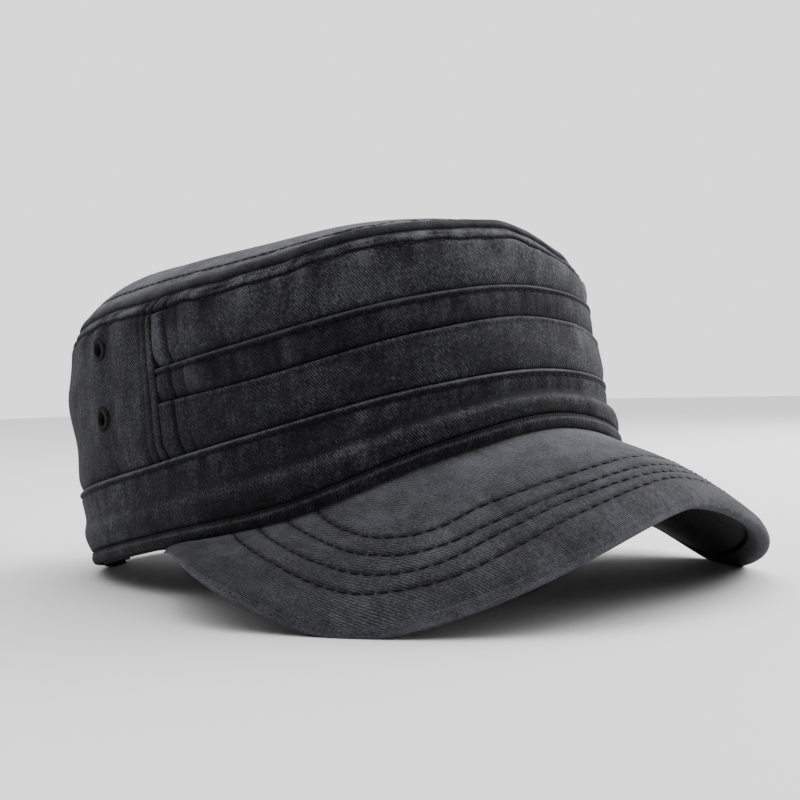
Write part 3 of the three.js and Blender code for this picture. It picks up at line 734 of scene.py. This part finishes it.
def twisted_thread(name, dark, light):
    """Sewing thread: a fine noise over it for its plies."""
    material, tree = blank_material(name)
    place = add_node(tree, "TexCoord").outputs["Object"]
    plies = add_node(tree, "TexNoise", Scale=2600.0, Detail=2.0, Vector=place).outputs["Fac"]
    dull = {"Roughness": 0.72, "Specular IOR Level": 0.3}
    finish_material(tree, add_ramp(tree, plies, (0.3, dark), (0.75, light)), plies, 0.4, 0.0001, **dull)
    return material


# The crown's top panel


def run_on(weave, points, away, first, count):
    """Lets the weave go on over an edge as long as the cloth does, in the way that it came."""
    steps = np.linalg.norm(np.diff(points[:, first - 1 : first + count], axis=1), axis=-1)
    run = unit(away)[:, None] * np.cumsum(steps, axis=1)[..., None]
    weave[:, first : first + count] = weave[:, first - 1, None] + run


def top_panel():
    angles = np.linspace(-180, 180, 481)
    inset = np.arange(8.6, 2.2, -0.32)
    inner = np.linspace(0.0, 0.9, 44) ** 0.9
    inner = inner[inner < 0.885]
    edge = wall_point(angles, crown_height(angles), -TOP_ROUNDING - 0.5)
    radius = np.hypot(edge[:, 0], edge[:, 1])[:, None]
    share = np.concatenate([np.broadcast_to(inner, (481, len(inner))), 1 - inset[None] / radius], 1)
    wide_angles = np.broadcast_to(angles[:, None], share.shape)
    dome = dome_point(wide_angles, share, 0)
    up = np.gradient(dome, axis=1)
    round_way = np.gradient(dome, axis=0)
    normal = np.cross(round_way, up)
    length = np.linalg.norm(normal, axis=-1, keepdims=True)
    normal = np.where(length > 1e-9, normal / np.maximum(length, 1e-9), [0, 0, 1.0])
    normal = np.where(normal[..., 2:] < 0, -normal, normal)
    rims = [(2.9, -1.1, 0.15), (1.9, -0.3, 0.25), (0.8, 0.05, 0.3), (0.0, -0.35, 0.25)]
    wave = lumps(arc(angles), 7.5, 97)
    rim = [wall_point(angles, crown_edge(angles) + z, out - TOP_ROUNDING + by * wave) for z, out, by in rims]
    knots = [dome[:, -1]] + rim
    spaced = [dome[:, -4]] + knots + knots[-1:]
    fill = []
    for four in zip(spaced, spaced[1:], spaced[2:], spaced[3:]):
        fill += [spline(*four, f) for f in np.linspace(0, 1, 5)[1:]]
    shoulder = np.stack(fill, 1)
    s = arc(wide_angles)
    line = CROWN_STITCH_INSET
    d = (1 - share) * radius
    gather = lumps(s - 0.4 * d, 5.6, 91)
    near = bump(d - line + 2.4, 2.2)
    lift = 0.45 * near * gather + groove(d - line, 0.5, 0.6)
    lift = lift + 0.5 * noise(dome[..., 0] / 30 + 3, dome[..., 1] / 30 + 5, 93) * held((d - 8) / 20)
    past = np.clip(d - line, 0, 99)
    lift = lift + 0.28 * lumps(s + 0.3 * d, 6.4, 95) * np.exp(-past / 6) * held(past / 1.2)
    lift = lift * held(share * 6)
    dome = dome + normal * lift[..., None]
    # painted light, partly real fade: the top panel lighter overall as it faces the light from above,
    # lighter on the gathers by the stitches and on the puckers past them, darker in the stitch groove as
    # shade
    tone = 0.6 + 0.5 * gather * near - bump(d - line, 0.7) + 0.25 * bump(past - 3, 5)
    # painted shade down over the rounded edge as it turns from the light, lighter on the gathers
    edge_tone = np.linspace(0.2, -0.9, shoulder.shape[1])[None] + 0.35 * lumps(s[:, :1], 5.6, 91)
    inside = -WALL - 2 * GAP - TOP_ROUNDING
    lips = [(0, 0), (-LIP_TALL, 0.4 * TOP_ROUNDING), (-LIP_TALL, -1.2), (0.6, -1.4)]
    under = [wall_point(angles, crown_height(angles) + z, inside + out) for z, out in lips]
    under += [dome_point(angles, k, TOP_THICK) for k in (0.9, 0.8, 0.65, 0.5, 0.35, 0.2, 0.0)]
    under = np.stack(under, 1)
    points = np.concatenate([dome, shoulder, under], 1)
    tones = np.concatenate([tone, edge_tone, np.full(under.shape[:2], UNSEEN)], 1)
    points[-1] = points[0]
    weave = points[..., :2].copy()
    run_on(weave, points, dome[:, -1, :2], dome.shape[1], shoulder.shape[1])
    return grid_piece("top_panel", points, weave, tones)


def dome_line(inset, up=0.0, count=1200):
    angles = np.linspace(-180, 180, count)
    edge = wall_point(angles, crown_height(angles), -TOP_ROUNDING - 0.5)
    share = 1 - inset / np.hypot(edge[:, 0], edge[:, 1])
    here = rest(dome_point(angles, share, -up))
    inner = rest(dome_point(angles, share - 0.02, -up))
    ups = np.cross(np.gradient(here, axis=0), inner - here)
    return here, ups * np.sign(ups[:, 2:]) / np.linalg.norm(ups, axis=1, keepdims=True)


def wall_line(angles, z, out):
    """A line of stitches on the wall and the way it faces."""
    here = rest(wall_point(angles, z, out))
    return here, unit(rest(wall_point(angles, z, out + 1)) - here)


# Hem, sweatband, arch and strap


def ring_of_profile(name, profile, count):
    """A band round the rim, open at the back; profile gives [height, out, tone] rows at the angles."""
    ends = np.linspace(0, 6, 13)
    middle = np.linspace(7 - OPEN_ANGLE, OPEN_ANGLE - 7, count)
    angles = np.concatenate([-OPEN_ANGLE + ends, middle, OPEN_ANGLE - ends[::-1]])
    z, out, tone = profile(angles)
    a = to_arch(np.broadcast_to(angles[:, None], z.shape), z)
    points = wall_point(a, z, out)
    run = lengths_along(points[len(angles) // 2])
    weave = np.stack([arc(a), np.broadcast_to(run[None], z.shape)], -1)
    return grid_piece(name, points, weave, tone, flat=True)


def hem_profile(angles):
    foot = height("rim", angles)[:, None]
    s = arc(angles)[:, None]
    turn = np.linspace(0, 1, 22)[None]
    lean = np.pi * (turn - 0.5)
    z = foot + HEM_TALL * (0.5 - 0.5 * np.sin(lean))
    round_out = 1.15 * np.cos(lean) ** 0.8 - 0.35
    out = round_out + 0.16 * lumps(s, 5.5, 101) * np.cos(lean) + groove(z - foot - 3.2, 0.22, 0.45)
    # painted highlight along the roll's ridge and painted shade at its top under the band
    tone = 0.95 * bump(z - foot - 2.6, 0.5) - 0.9 * bump(z - foot - HEM_TALL, 0.6)
    tone = tone + 0.25 * lumps(s, 6.5, 103) - 0.25
    # over the peak the roll is pressed down on to the peak's root
    hang = 0.6 * held((92 - np.abs(angles[:, None])) / 8)
    z = z - hang * turn**3
    step, top = foot + HEM_TALL - HEM_LIP - GAP, foot + HEM_TALL
    z = np.concatenate([top, z, foot - hang, foot - hang, step, step, top], 1)
    out = np.concatenate([0 * foot - LIP, out] + [0 * foot + t for t in (-0.7, -WALL, -WALL, -LIP, -LIP)], 1)
    return z, out, np.concatenate([0 * foot - 0.5, tone] + [0 * foot + UNSEEN] * 5, 1)


def sweatband_profile(angles):
    foot = height("rim", angles)[:, None]
    s = arc(angles)[:, None]
    # it hangs low enough to close the slit over the peak's root, lowest near the peak's corners
    low = foot - 0.9 - 1.9 * bump((np.abs(angles[:, None]) - 69) / 12, 1)
    high = foot + 25
    outer = -WALL - 2 * GAP
    share = np.linspace(0, 1, 24)[None]
    z_in = low + 0.3 + (high - low - 0.3) * share
    ripple = 0.22 * lumps(s, 8, 111) * np.sin(np.pi * share) + groove(high - z_in - 3, 0.2, 0.7)
    in_out = outer - 1.1 - 0.35 * np.abs(np.sin(np.pi * share)) - ripple
    z = np.concatenate([low + 0.6, low, z_in, high, high, low + 0.6], 1)
    flat = 0 * low + outer
    out = np.concatenate([flat, flat - 0.3, in_out, flat - 0.7, flat, flat], 1)
    return z, out, np.zeros(z.shape)


def back_wall(x, z, out):
    p = wall_point(back_angle(np.abs(x), z), z, out)
    return np.stack([np.where(x < 0, -1, 1) * p[..., 0], p[..., 1], z + 0 * x], -1)


def arch_binding():
    share = np.linspace(0, 1, 181)[:, None]
    xi, zi = arch_line(share, ARCH_HALF_WIDTH, ARCH_TALL)
    xo, zo = arch_line(share, ARCH_HALF_WIDTH + ARCH_BINDING, ARCH_TALL + ARCH_BINDING)
    turn = np.linspace(0, 2 * np.pi, 41)[None]
    across = 0.5 - 0.5 * np.sign(np.cos(turn)) * np.abs(np.cos(turn)) ** 0.6
    over = np.sin(turn)
    bulge = np.where(over > 0, 0.9 * np.abs(over) ** 0.5 - 0.1, -WALL - 0.35 * np.abs(over) ** 0.5)
    run = share * 125
    gather = lumps(run, 4.2, 121)
    bulge = bulge + np.where(over > 0, 0.2 * gather * over + groove((across - 0.76) * 5, 0.35, 0.5), 0)
    x, z = xi + (xo - xi) * across, zi + (zo - zi) * across
    points = back_wall(x, z, bulge)
    weave = np.stack([run + 0 * x, across * 5 + 0 * x], -1)
    # lighter on the binding's roll and its gathers, partly real rubbing and partly a painted highlight;
    # painted shade in the stitch groove
    tone = 0.45 * bump(across - 0.25, 0.25) + 0.25 * gather - 0.8 * bump(across - 0.78, 0.1)
    return grid_piece("opening_binding", points, weave, tone)


def closing_strap():
    reach = float(back_angle(ARCH_HALF_WIDTH + ARCH_BINDING + STRAP_LAP, 0))
    angles = np.concatenate([np.linspace(reach, 180, 70), np.linspace(180, 360 - reach, 70)[1:]])
    angle = np.where(angles > 180, angles - 360, angles)[:, None]
    lap = held((angles[:, None] - 176) / 0.8)
    turn = np.linspace(0, 1, 33)[None]
    front = held(turn * 1.45)
    back = held((turn - 0.69) / 0.31)
    low, high = STRAP_ABOVE_RIM, STRAP_ABOVE_RIM + STRAP_TALL
    z = np.where(turn <= 0.69, low + (high - low) * front, high - (high - low) * back)
    side = np.minimum(z - low, high - z)
    rounding = 0.55 * np.sqrt(held(side / 1.2))
    s = arc(angle)
    face = STRAP_OUT + STRAP_THICK - 0.55 + rounding + groove(side - 2.0, 0.3, 0.5) + 0.12 * lumps(s, 7, 131)
    face = face - 0.6 * (1 - lap)
    out = np.where(turn <= 0.69, face, STRAP_OUT + 0.0 * z)
    points = wall_point(angle + 0 * z, z + 0 * angle, out)
    weave = np.stack([arc(angle) + 0 * z, z + 0 * angle], -1)
    # lighter along the strap's rounded edges, partly real rubbing and partly a painted highlight; painted
    # shade in the stitch grooves; the lumps a random tone
    tone = 0.2 * lumps(s, 11, 133) + 0.5 * bump(side - 0.4, 0.6) - 0.8 * bump(side - 2.0, 0.5) + 0 * z
    return grid_piece("closing_strap", points, weave, tone)


def on_wall(angle, z):
    """A frame on the wall, in millimetres: sideways, up and outwards."""
    at, beyond = wall_point(np.array([angle]), z, 0)[0], wall_point(np.array([angle]), z, 1)[0]
    side = np.cross([0, 0, 1.0], beyond - at)
    up = np.cross(beyond - at, side)
    origin = Vector(rest(at))
    axes = [Vector(rest(place)) - origin for place in (at + side, at + up, beyond)]
    return Matrix.Translation(origin) @ Matrix([a.normalized() / 1000 for a in axes]).transposed().to_4x4()


SIDES = ((-1, "right"), (1, "left"))
EYELET_ANGLE = 106
EYELET_HEIGHTS = {"upper": 71, "lower": 47}
EYELET_HOLE = 2.1
RING_RADIUS, RING_THREADS = 3.35, 30


def pierce(piece, angle, heights):
    """Cuts the eyelets' holes through a panel."""
    cutters = []
    for z in heights:
        bm = bmesh.new()
        wide = EYELET_HOLE + 0.5
        bmesh.ops.create_cone(bm, cap_ends=True, segments=28, radius1=wide, radius2=wide, depth=16)
        bmesh.ops.transform(bm, matrix=on_wall(angle, z), verts=bm.verts)
        cutters.append(link("hole", mesh_of("hole", bm)))
        cut = piece.modifiers.new("hole", "BOOLEAN")
        cut.operation, cut.solver, cut.object = "DIFFERENCE", "EXACT", cutters[-1]
    whole = bpy.context.evaluated_depsgraph_get()
    cut_mesh = bpy.data.meshes.new_from_object(piece.evaluated_get(whole))
    piece.modifiers.clear()
    piece.data = cut_mesh
    for cutter in cutters:
        bpy.data.meshes.remove(cutter.data)


def eyelet(name, angle, z):
    """A sewn eyelet: close threads wound over its edge, round a clear hole."""
    place = on_wall(angle, z)
    bm = bmesh.new()
    section = bmesh.ops.create_circle(bm, segments=10, radius=1)["verts"]
    for vert in section:
        vert.co = Vector((RING_RADIUS + 1.08 * vert.co.x, 0, 1.25 * vert.co.y - 0.95))
    geom = section + list(bm.edges)
    bmesh.ops.spin(bm, geom=geom, axis=(0, 0, 1), angle=2 * math.pi, steps=36, use_merge=True)
    bmesh.ops.remove_doubles(bm, verts=bm.verts, dist=1e-4)
    for k in range(RING_THREADS):
        turn = Matrix.Rotation(2 * math.pi * (k + 0.12 * math.sin(5 * k)) / RING_THREADS, 4, "Z")
        reach = 2.35 + 0.25 * math.sin(7 * k)
        shape = turn @ Matrix.Translation((3.4, 0, 0.2)) @ Matrix.Diagonal((reach, 0.62, 0.66, 1))
        lying = shape @ Matrix.Rotation(math.pi / 2, 4, "Y")
        bmesh.ops.create_uvsphere(bm, u_segments=6, v_segments=6, radius=0.5, matrix=lying)
    bmesh.ops.transform(bm, matrix=place, verts=bm.verts)
    bmesh.ops.recalc_face_normals(bm, faces=bm.faces)
    return smooth_piece(name, mesh_of(name, bm))


# Peak

# Each stitch row on the peak: how far out it runs at each place across, 0 at the rim and 1 at the edge
PEAK_ROWS = {
    "first": (
        [0, 0.12, 0.22, 0.33, 0.42, 0.48, 0.54, 0.59, 0.61],
        [0.60, 0.56, 0.53, 0.51, 0.54, 0.50, 0.38, 0.15, 0.0],
    ),
    "second": (
        [0, 0.12, 0.22, 0.33, 0.42, 0.5, 0.58, 0.65, 0.675],
        [0.70, 0.66, 0.64, 0.64, 0.655, 0.605, 0.44, 0.15, 0.0],
    ),
    "third": (
        [0, 0.12, 0.22, 0.33, 0.43, 0.52, 0.6, 0.67, 0.71, 0.738],
        [0.77, 0.725, 0.705, 0.715, 0.745, 0.705, 0.58, 0.40, 0.22, 0.0],
    ),
    "fourth": (
        [0, 0.12, 0.22, 0.33, 0.43, 0.51, 0.6, 0.68, 0.75, 0.79, 0.8],
        [0.825, 0.805, 0.80, 0.82, 0.835, 0.81, 0.74, 0.61, 0.38, 0.11, 0.0],
    ),
}


def peak_row(name, count=700):
    across, outwards = PEAK_ROWS[name]
    # the far end of a row falls steeply, so its points crowd there
    q = across[-1] * (1 - (1 - np.linspace(0, 1, count)) ** 1.5)
    v = through(across, outwards, q)
    u = np.concatenate([-q[::-1], q[1:]])
    return u, np.clip(np.concatenate([v[::-1], v[1:]]), 0.0, 1)


def row_distance(u, v):
    """Distance in the peak's own surface to the nearest stitch row."""
    best = np.full(u.shape, 99.0)
    flat = peak_skin(u, v)
    for name in PEAK_ROWS:
        for spot in peak_skin(*peak_row(name, 150)):
            best = np.minimum(best, np.linalg.norm(flat - spot, axis=-1))
    return best


def peak_weave(u, v):
    return peak_skin(u, v)[..., :2]


def peak_cloth():
    across = np.linspace(-1, 1, 361)
    across = np.sign(across) * np.abs(across) ** 0.94
    face = np.linspace(0, 0.955, 96)
    turn = np.linspace(0, np.pi, 15)[1:]
    lip = 1 - 0.045 * (1 - np.sin(turn))
    lip_down = 0.5 * PEAK_EDGE_THICK * (1 - np.cos(turn))
    turned_in = [(0.93, PEAK_EDGE_THICK), (0.905, 4.45), (0.9, 4.2)]
    under = [(way, PEAK_THICK) for way in (0.9, 0.75, 0.55, 0.35, 0.15, 0)]
    tail_v, tail_down = zip(*turned_in, *under, (0, 0))
    u, v = np.meshgrid(across, np.concatenate([face, lip, tail_v]), indexing="ij")
    down = np.broadcast_to(np.concatenate([0 * face, lip_down, tail_down]), u.shape).copy()
    end = len(face)
    fu, fv = u[:, :end], v[:, :end]
    near = row_distance(fu, fv)
    relief = groove(near, 0.42, 0.7) + 0.22 * noise(fu * 9 + 20, fv * 3 + 4, 141)
    down[:, :end] -= relief * held(fv / 0.06)
    # painted light: the peak lighter at its root and towards the lit side, darker towards its front edge;
    # the noise a random tone
    peak_painted_light = 0.85 + 0.4 * fu - 0.8 * fv - 0.4 * held((fu - 0.5) / 0.3)
    peak_painted_light = peak_painted_light + 0.2 * noise(fu * 14 + 20, fv * 6 + 4, 143)
    # painted light and shade over the rounded edge: lighter on top, darker under it, with a thin lighter
    # line that is partly real rubbing and partly a painted highlight
    edge = np.linspace(0.3, -0.3, len(lip))[None]
    lip_rubbing_and_highlight = 0.35 + 0.08 * noise(u[:, :1] * 40 + 50, 0.5, 145)
    # painted shade on the turned-in edge and the underside
    tone = np.full(u.shape, -0.7)
    # painted shade in the stitch grooves and at the root under the hem
    tone[:, :end] = peak_painted_light - 0.6 * bump(near) - 0.7 * bump(fv / 0.05)
    tone[:, end : end + len(lip)] = edge + 1.4 * lip_rubbing_and_highlight * bump((np.arange(len(lip)) - 4) / 1.6)[None]
    # the edge thins to nothing where it goes in under the hem
    down *= 1 - 0.85 * held((np.abs(u) - 0.9) / 0.1) ** 2
    points = peak_point(u, v, down)
    weave = peak_weave(u, v)
    run_on(weave, points, weave[:, end - 1] - weave[:, 0], end, len(lip))
    return grid_piece("peak_cloth", points, weave, tone, flat=True)


FACING_SPAN = 0.75


def peak_lining():
    across = np.linspace(-FACING_SPAN, FACING_SPAN, 161)
    out = np.linspace(0.06, 0.88, 41)
    low = 4.2 - 0.5 * bump((0.88 - out) / 0.012, 1)
    v = np.concatenate([out, out[::-1], out[:1]])
    down = np.concatenate([0 * out + 3.2, low[::-1], [3.2]])
    u, v = np.meshgrid(across, v, indexing="ij")
    down = np.broadcast_to(down, u.shape) - 0.15 * (0.5 + 0.5 * noise(u * 12 + 9, v * 6, 151)) * (down > 4)
    points = peak_point(u, v, down)
    tone = 0.15 * noise(u * 15 + 9, v * 8, 153)
    return grid_piece("peak_lining", points, peak_weave(u, v), tone, flat=True)


def peak_line(name):
    u, v = peak_row(name)
    here = rest(peak_point(u, v, 0.12), True)
    ups = here - rest(peak_point(u, v, 1.12), True)
    ups[:, 2] = np.abs(ups[:, 2])
    return here, ups


# Assembly

def blue_grey(value):
    """A washed-out black with a breath of blue, from how light it is."""
    return (value, 0.995 * value, 1.17 * value)


def denim(name, dark, middle, light, turn, **finish):
    return washed_twill(name, blue_grey(dark), blue_grey(middle), blue_grey(light), turn, **finish)


denim_wall = denim("washed_denim_wall", 0.0075, 0.025, 0.1, -34, pitch=0.8, contrast=1.35, mottle=0.7)
# the top panel's denim is a lighter copy of the wall's: partly real sun fade, partly painted light, as the
# top faces the light from above
denim_top = denim("washed_denim_top", 0.016, 0.048, 0.14, 40, pitch=0.8, contrast=0.42, mottle=0.7)
denim_dark = denim("washed_denim_dark", 0.005, 0.014, 0.06, -34, pitch=0.8, contrast=1.3, mottle=0.7)
# the peak's denim is a lighter copy of the wall's: partly real fade, partly painted light, as the peak faces
# the light from above
denim_peak = denim("washed_denim_peak", 0.012, 0.042, 0.125, -13, pitch=0.58, contrast=0.95, mottle=0.5)
lining = denim("peak_lining_cloth", 0.005, 0.0105, 0.024, -46)
tape = denim("sweatband_tape", 0.005, 0.011, 0.027, 0, pitch=0.8)
thread = twisted_thread("black_thread", (0.003, 0.003, 0.0036), (0.014, 0.0145, 0.016))
eyelet_thread = twisted_thread("eyelet_thread", (0.0015, 0.0015, 0.0018), (0.008, 0.0083, 0.0095))

dress(top_panel(), denim_top, "denim", "crown_top")

front = FRONT_ANGLES
strip_top, strip_low, band_top = [height(edge, front) for edge in ("stripHigh", "stripLow", "bandTop")]
upper = crown_edge(front) - GAP
made = panel("upper_panel", front, upper, strip_top, upper_face, 26, BEHIND_CROWN, front_slant, CROWN_LIP)
dress(made, denim_wall, "denim", "front_upper")
made = panel("trim_strip", front, strip_top, strip_low, strip_face, 12, BEHIND_TIER, front_slant)
dress(made, denim_dark, "denim_shaded", "front_strip")
made = panel("middle_panel", front, strip_low, band_top, middle_face, 16, BEHIND_TIER, front_slant)
dress(made, denim_wall, "denim", "front_middle")

first = SIDE_SEAM + GAP / RIM_HALF_WIDTH * 180 / math.pi
last = 180 - GAP / RIM_HALF_WIDTH * 90 / math.pi
back = np.concatenate([first + near_seam, np.linspace(first + 9.4, 150, 114), np.linspace(150.4, last, 76)])
for side, word in SIDES:
    angles = back if side > 0 else -back[::-1]
    name, upper, lower = f"back_panel_{word}_cloth", crown_edge(angles) - GAP, back_low(angles)
    made = panel(name, angles, upper, lower, back_face, 60, BEHIND_CROWN, back_slant, CROWN_LIP)
    pierce(made, side * EYELET_ANGLE, EYELET_HEIGHTS.values())
    dress(made, denim_wall, "denim", "back_panel_" + word)

ends = np.linspace(0, 6, 19)
middle = np.linspace(6.6 - OPEN_ANGLE, OPEN_ANGLE - 6.6, 560)
round_band = np.concatenate([-OPEN_ANGLE + ends, middle, OPEN_ANGLE - ends[::-1]])
behind_band = [
    (lambda t, l: l - HEM_LIP + 1.3 * GAP, -STEP_IN),
    (lambda t, l: l - HEM_LIP + 1.3 * GAP, -WALL),
    (lambda t, l: l + 0.4 * (t - l), -WALL),
] + BEHIND_TIER[3:]
upper, lower = height("bandTop", round_band), height("rim", round_band) + HEM_TALL
band = panel("head_band", round_band, upper, lower, band_face, 24, behind_band, bend=to_arch)
dress(band, denim_wall, "denim", "band")
dress(ring_of_profile("hem_roll", hem_profile, 420), denim_dark, "denim", "hem")
dress(ring_of_profile("sweat_tape", sweatband_profile, 260), tape, "sweatband_cloth", "sweatband")
dress(arch_binding(), denim_wall, "denim", "back_binding")
dress(closing_strap(), denim_dark, "denim_shaded", "back_strap")
for side, word in SIDES:
    for level, z in EYELET_HEIGHTS.items():
        made = eyelet(f"sewn_eyelet_{word}_{level}", side * EYELET_ANGLE, z)
        dress(made, eyelet_thread, "thread", f"eyelet_{word}_{level}")
dress(peak_cloth(), denim_peak, "denim", "peak")
dress(peak_lining(), lining, "peak_underside", "peak_facing")

# Stitches

# How long the stitches are, how far apart, and how thick
PEAK_THREAD, SEAM_THREAD, EDGE_THREAD = (3.2, 0.95, 0.8), (2.7, 0.9, 0.5), (2.6, 0.8, 0.42)


def sew(name, line, sizes=EDGE_THREAD):
    dress(stitch_row(name, *line, *sizes), thread, "thread")


for name in PEAK_ROWS:
    sew("peak_stitches_" + name, peak_line(name), PEAK_THREAD)
sew("top_stitches", dome_line(CROWN_STITCH_INSET, -0.12), SEAM_THREAD)
ring = np.linspace(-180, 180, 1400)
drop = crown_stitch(arc(ring)) + 2.5 * GAP
out = -3.0 * (1 - held(drop / 7)) ** 2 - 0.45
sew("crown_side_stitches", wall_line(ring, crown_edge(ring) - drop, out), SEAM_THREAD)
seam = np.linspace(0.6 - SIDE_SEAM, SIDE_SEAM - 0.6, 700)
sew("strip_stitches", wall_line(seam, height("stripHigh", seam) - EDGE_STITCH, -0.4))
around = np.linspace(-OPEN_ANGLE + 1, OPEN_ANGLE - 1, 1400)
level = height("bandTop", around) - EDGE_STITCH
sew("band_stitches", wall_line(to_arch(around, level), level, -0.4))
level = height("rim", around) + 3.2
sew("hem_stitches", wall_line(to_arch(around, 0 * around), level, 0.25), (2.6, 0.8, 0.4))
tall = np.linspace(28.5, 76, 160)
for side, word in SIDES:
    for name, angle in (("front", SEAM_STITCH_FRONT), ("back", SEAM_STITCH_BACK)):
        line = wall_line(np.full(160, side * angle), tall, -0.42)
        sew(f"side_seam_stitches_{word}_{name}", line, (2.7, 0.9, 0.45))

x, z = arch_line(np.linspace(0.03, 0.97, 400), ARCH_HALF_WIDTH + 3.8, ARCH_TALL + 3.8)
here = rest(back_wall(x, z, 0.35))
sew("binding_stitches", (here, rest(back_wall(x, z, 1.35)) - here), (2.4, 0.8, 0.42))
reach = float(back_angle(ARCH_HALF_WIDTH + ARCH_BINDING + STRAP_LAP - 2, 0))
strap_run = np.linspace(reach, 360 - reach, 400)
strap_angle = np.where(strap_run > 180, strap_run - 360, strap_run)
out = STRAP_OUT + STRAP_THICK - 0.15 + np.where(strap_run > 176.8, 0.0, -0.6)
for name, z in (("low", STRAP_ABOVE_RIM + 2), ("high", STRAP_ABOVE_RIM + STRAP_TALL - 2)):
    sew("strap_stitches_" + name, wall_line(strap_angle, z, out), (2.5, 0.8, 0.42))

# Stage, light and camera

bm = bmesh.new()
bmesh.ops.create_grid(bm, x_segments=1, y_segments=1, size=3.0)
floor = link("floor", mesh_of("floor", bm))
white = bpy.data.materials.new("pale_floor")
white.use_nodes = True
paint = white.node_tree.nodes["Principled BSDF"].inputs
paint["Base Color"].default_value = (0.9, 0.9, 0.9, 1)
paint["Roughness"].default_value = 0.8
floor.data.materials.append(white)

world = bpy.data.worlds.new("studio")
bpy.context.scene.world = world
world.use_nodes = True
# The white sweep behind and above the cap is brighter than the dim room in front of it
SKY_TOWARDS = Vector((0.60, 0.40, 0.70)).normalized()
SKY_BRIGHT, SKY_DIM = 1.8, 0.05
sky = world.node_tree
facing = add_node(sky, "VectorMath", operation="DOT_PRODUCT")
facing.inputs[1].default_value = SKY_TOWARDS
sky.links.new(add_node(sky, "TexCoord").outputs["Generated"], facing.inputs[0])
limits = {"From Min": 0.0, "From Max": 0.55, "To Min": SKY_DIM, "To Max": SKY_BRIGHT}
towards = facing.outputs["Value"]
blend = add_node(sky, "MapRange", interpolation_type="SMOOTHSTEP", Value=towards, **limits).outputs[0]
seen = add_node(sky, "LightPath").outputs["Is Camera Ray"]
backdrop = add_node(sky, "Mix", data_type="FLOAT", Factor=seen, A=blend, B=SKY_BRIGHT)
sky.links.new(backdrop.outputs["Result"], sky.nodes["Background"].inputs["Strength"])
sky.nodes["Background"].inputs["Color"].default_value = (1, 1, 1, 1)


def softbox(name, place, target, size, power):
    light = bpy.data.lights.new(name, "AREA")
    light.shape = "RECTANGLE"
    light.size, light.size_y = size
    light.energy = power
    lamp = bpy.data.objects.new(name, light)
    lamp.location = place
    lamp.rotation_euler = (Vector(target) - Vector(place)).to_track_quat("-Z", "Y").to_euler()
    bpy.context.scene.collection.objects.link(lamp)


softbox("overhead", (0.15, 0.15, 1.25), (0, 0, 0.05), (0.9, 0.9), 7)
softbox("right_side", (1.25, -0.25, 0.62), (0, -0.05, 0.06), (0.8, 0.8), 25)

# Where the photo was taken from, and how the camera was turned, in radians
YAW, PITCH, ROLL = 0.760, -0.013, -0.029
CAMERA_AT = (-0.3316, (-376.555 - MIDDLE_Y) / 1000, 0.068)
FOCAL_LENGTH = 61.8
ahead = Vector((math.cos(PITCH) * math.sin(YAW), math.cos(PITCH) * math.cos(YAW), math.sin(PITCH)))
right = Vector((math.cos(YAW), -math.sin(YAW), 0))
over = right.cross(ahead)
level_right = right * math.cos(ROLL) + over * math.sin(ROLL)
level_up = over * math.cos(ROLL) - right * math.sin(ROLL)
lens = bpy.data.cameras.new("camera")
lens.lens = FOCAL_LENGTH
lens.sensor_width = 36
camera = bpy.data.objects.new("camera", lens)
turned = Matrix((level_right, level_up, -ahead)).transposed()
camera.matrix_world = Matrix.Translation(CAMERA_AT) @ turned.to_4x4()
bpy.context.scene.collection.objects.link(camera)
bpy.context.scene.camera = camera
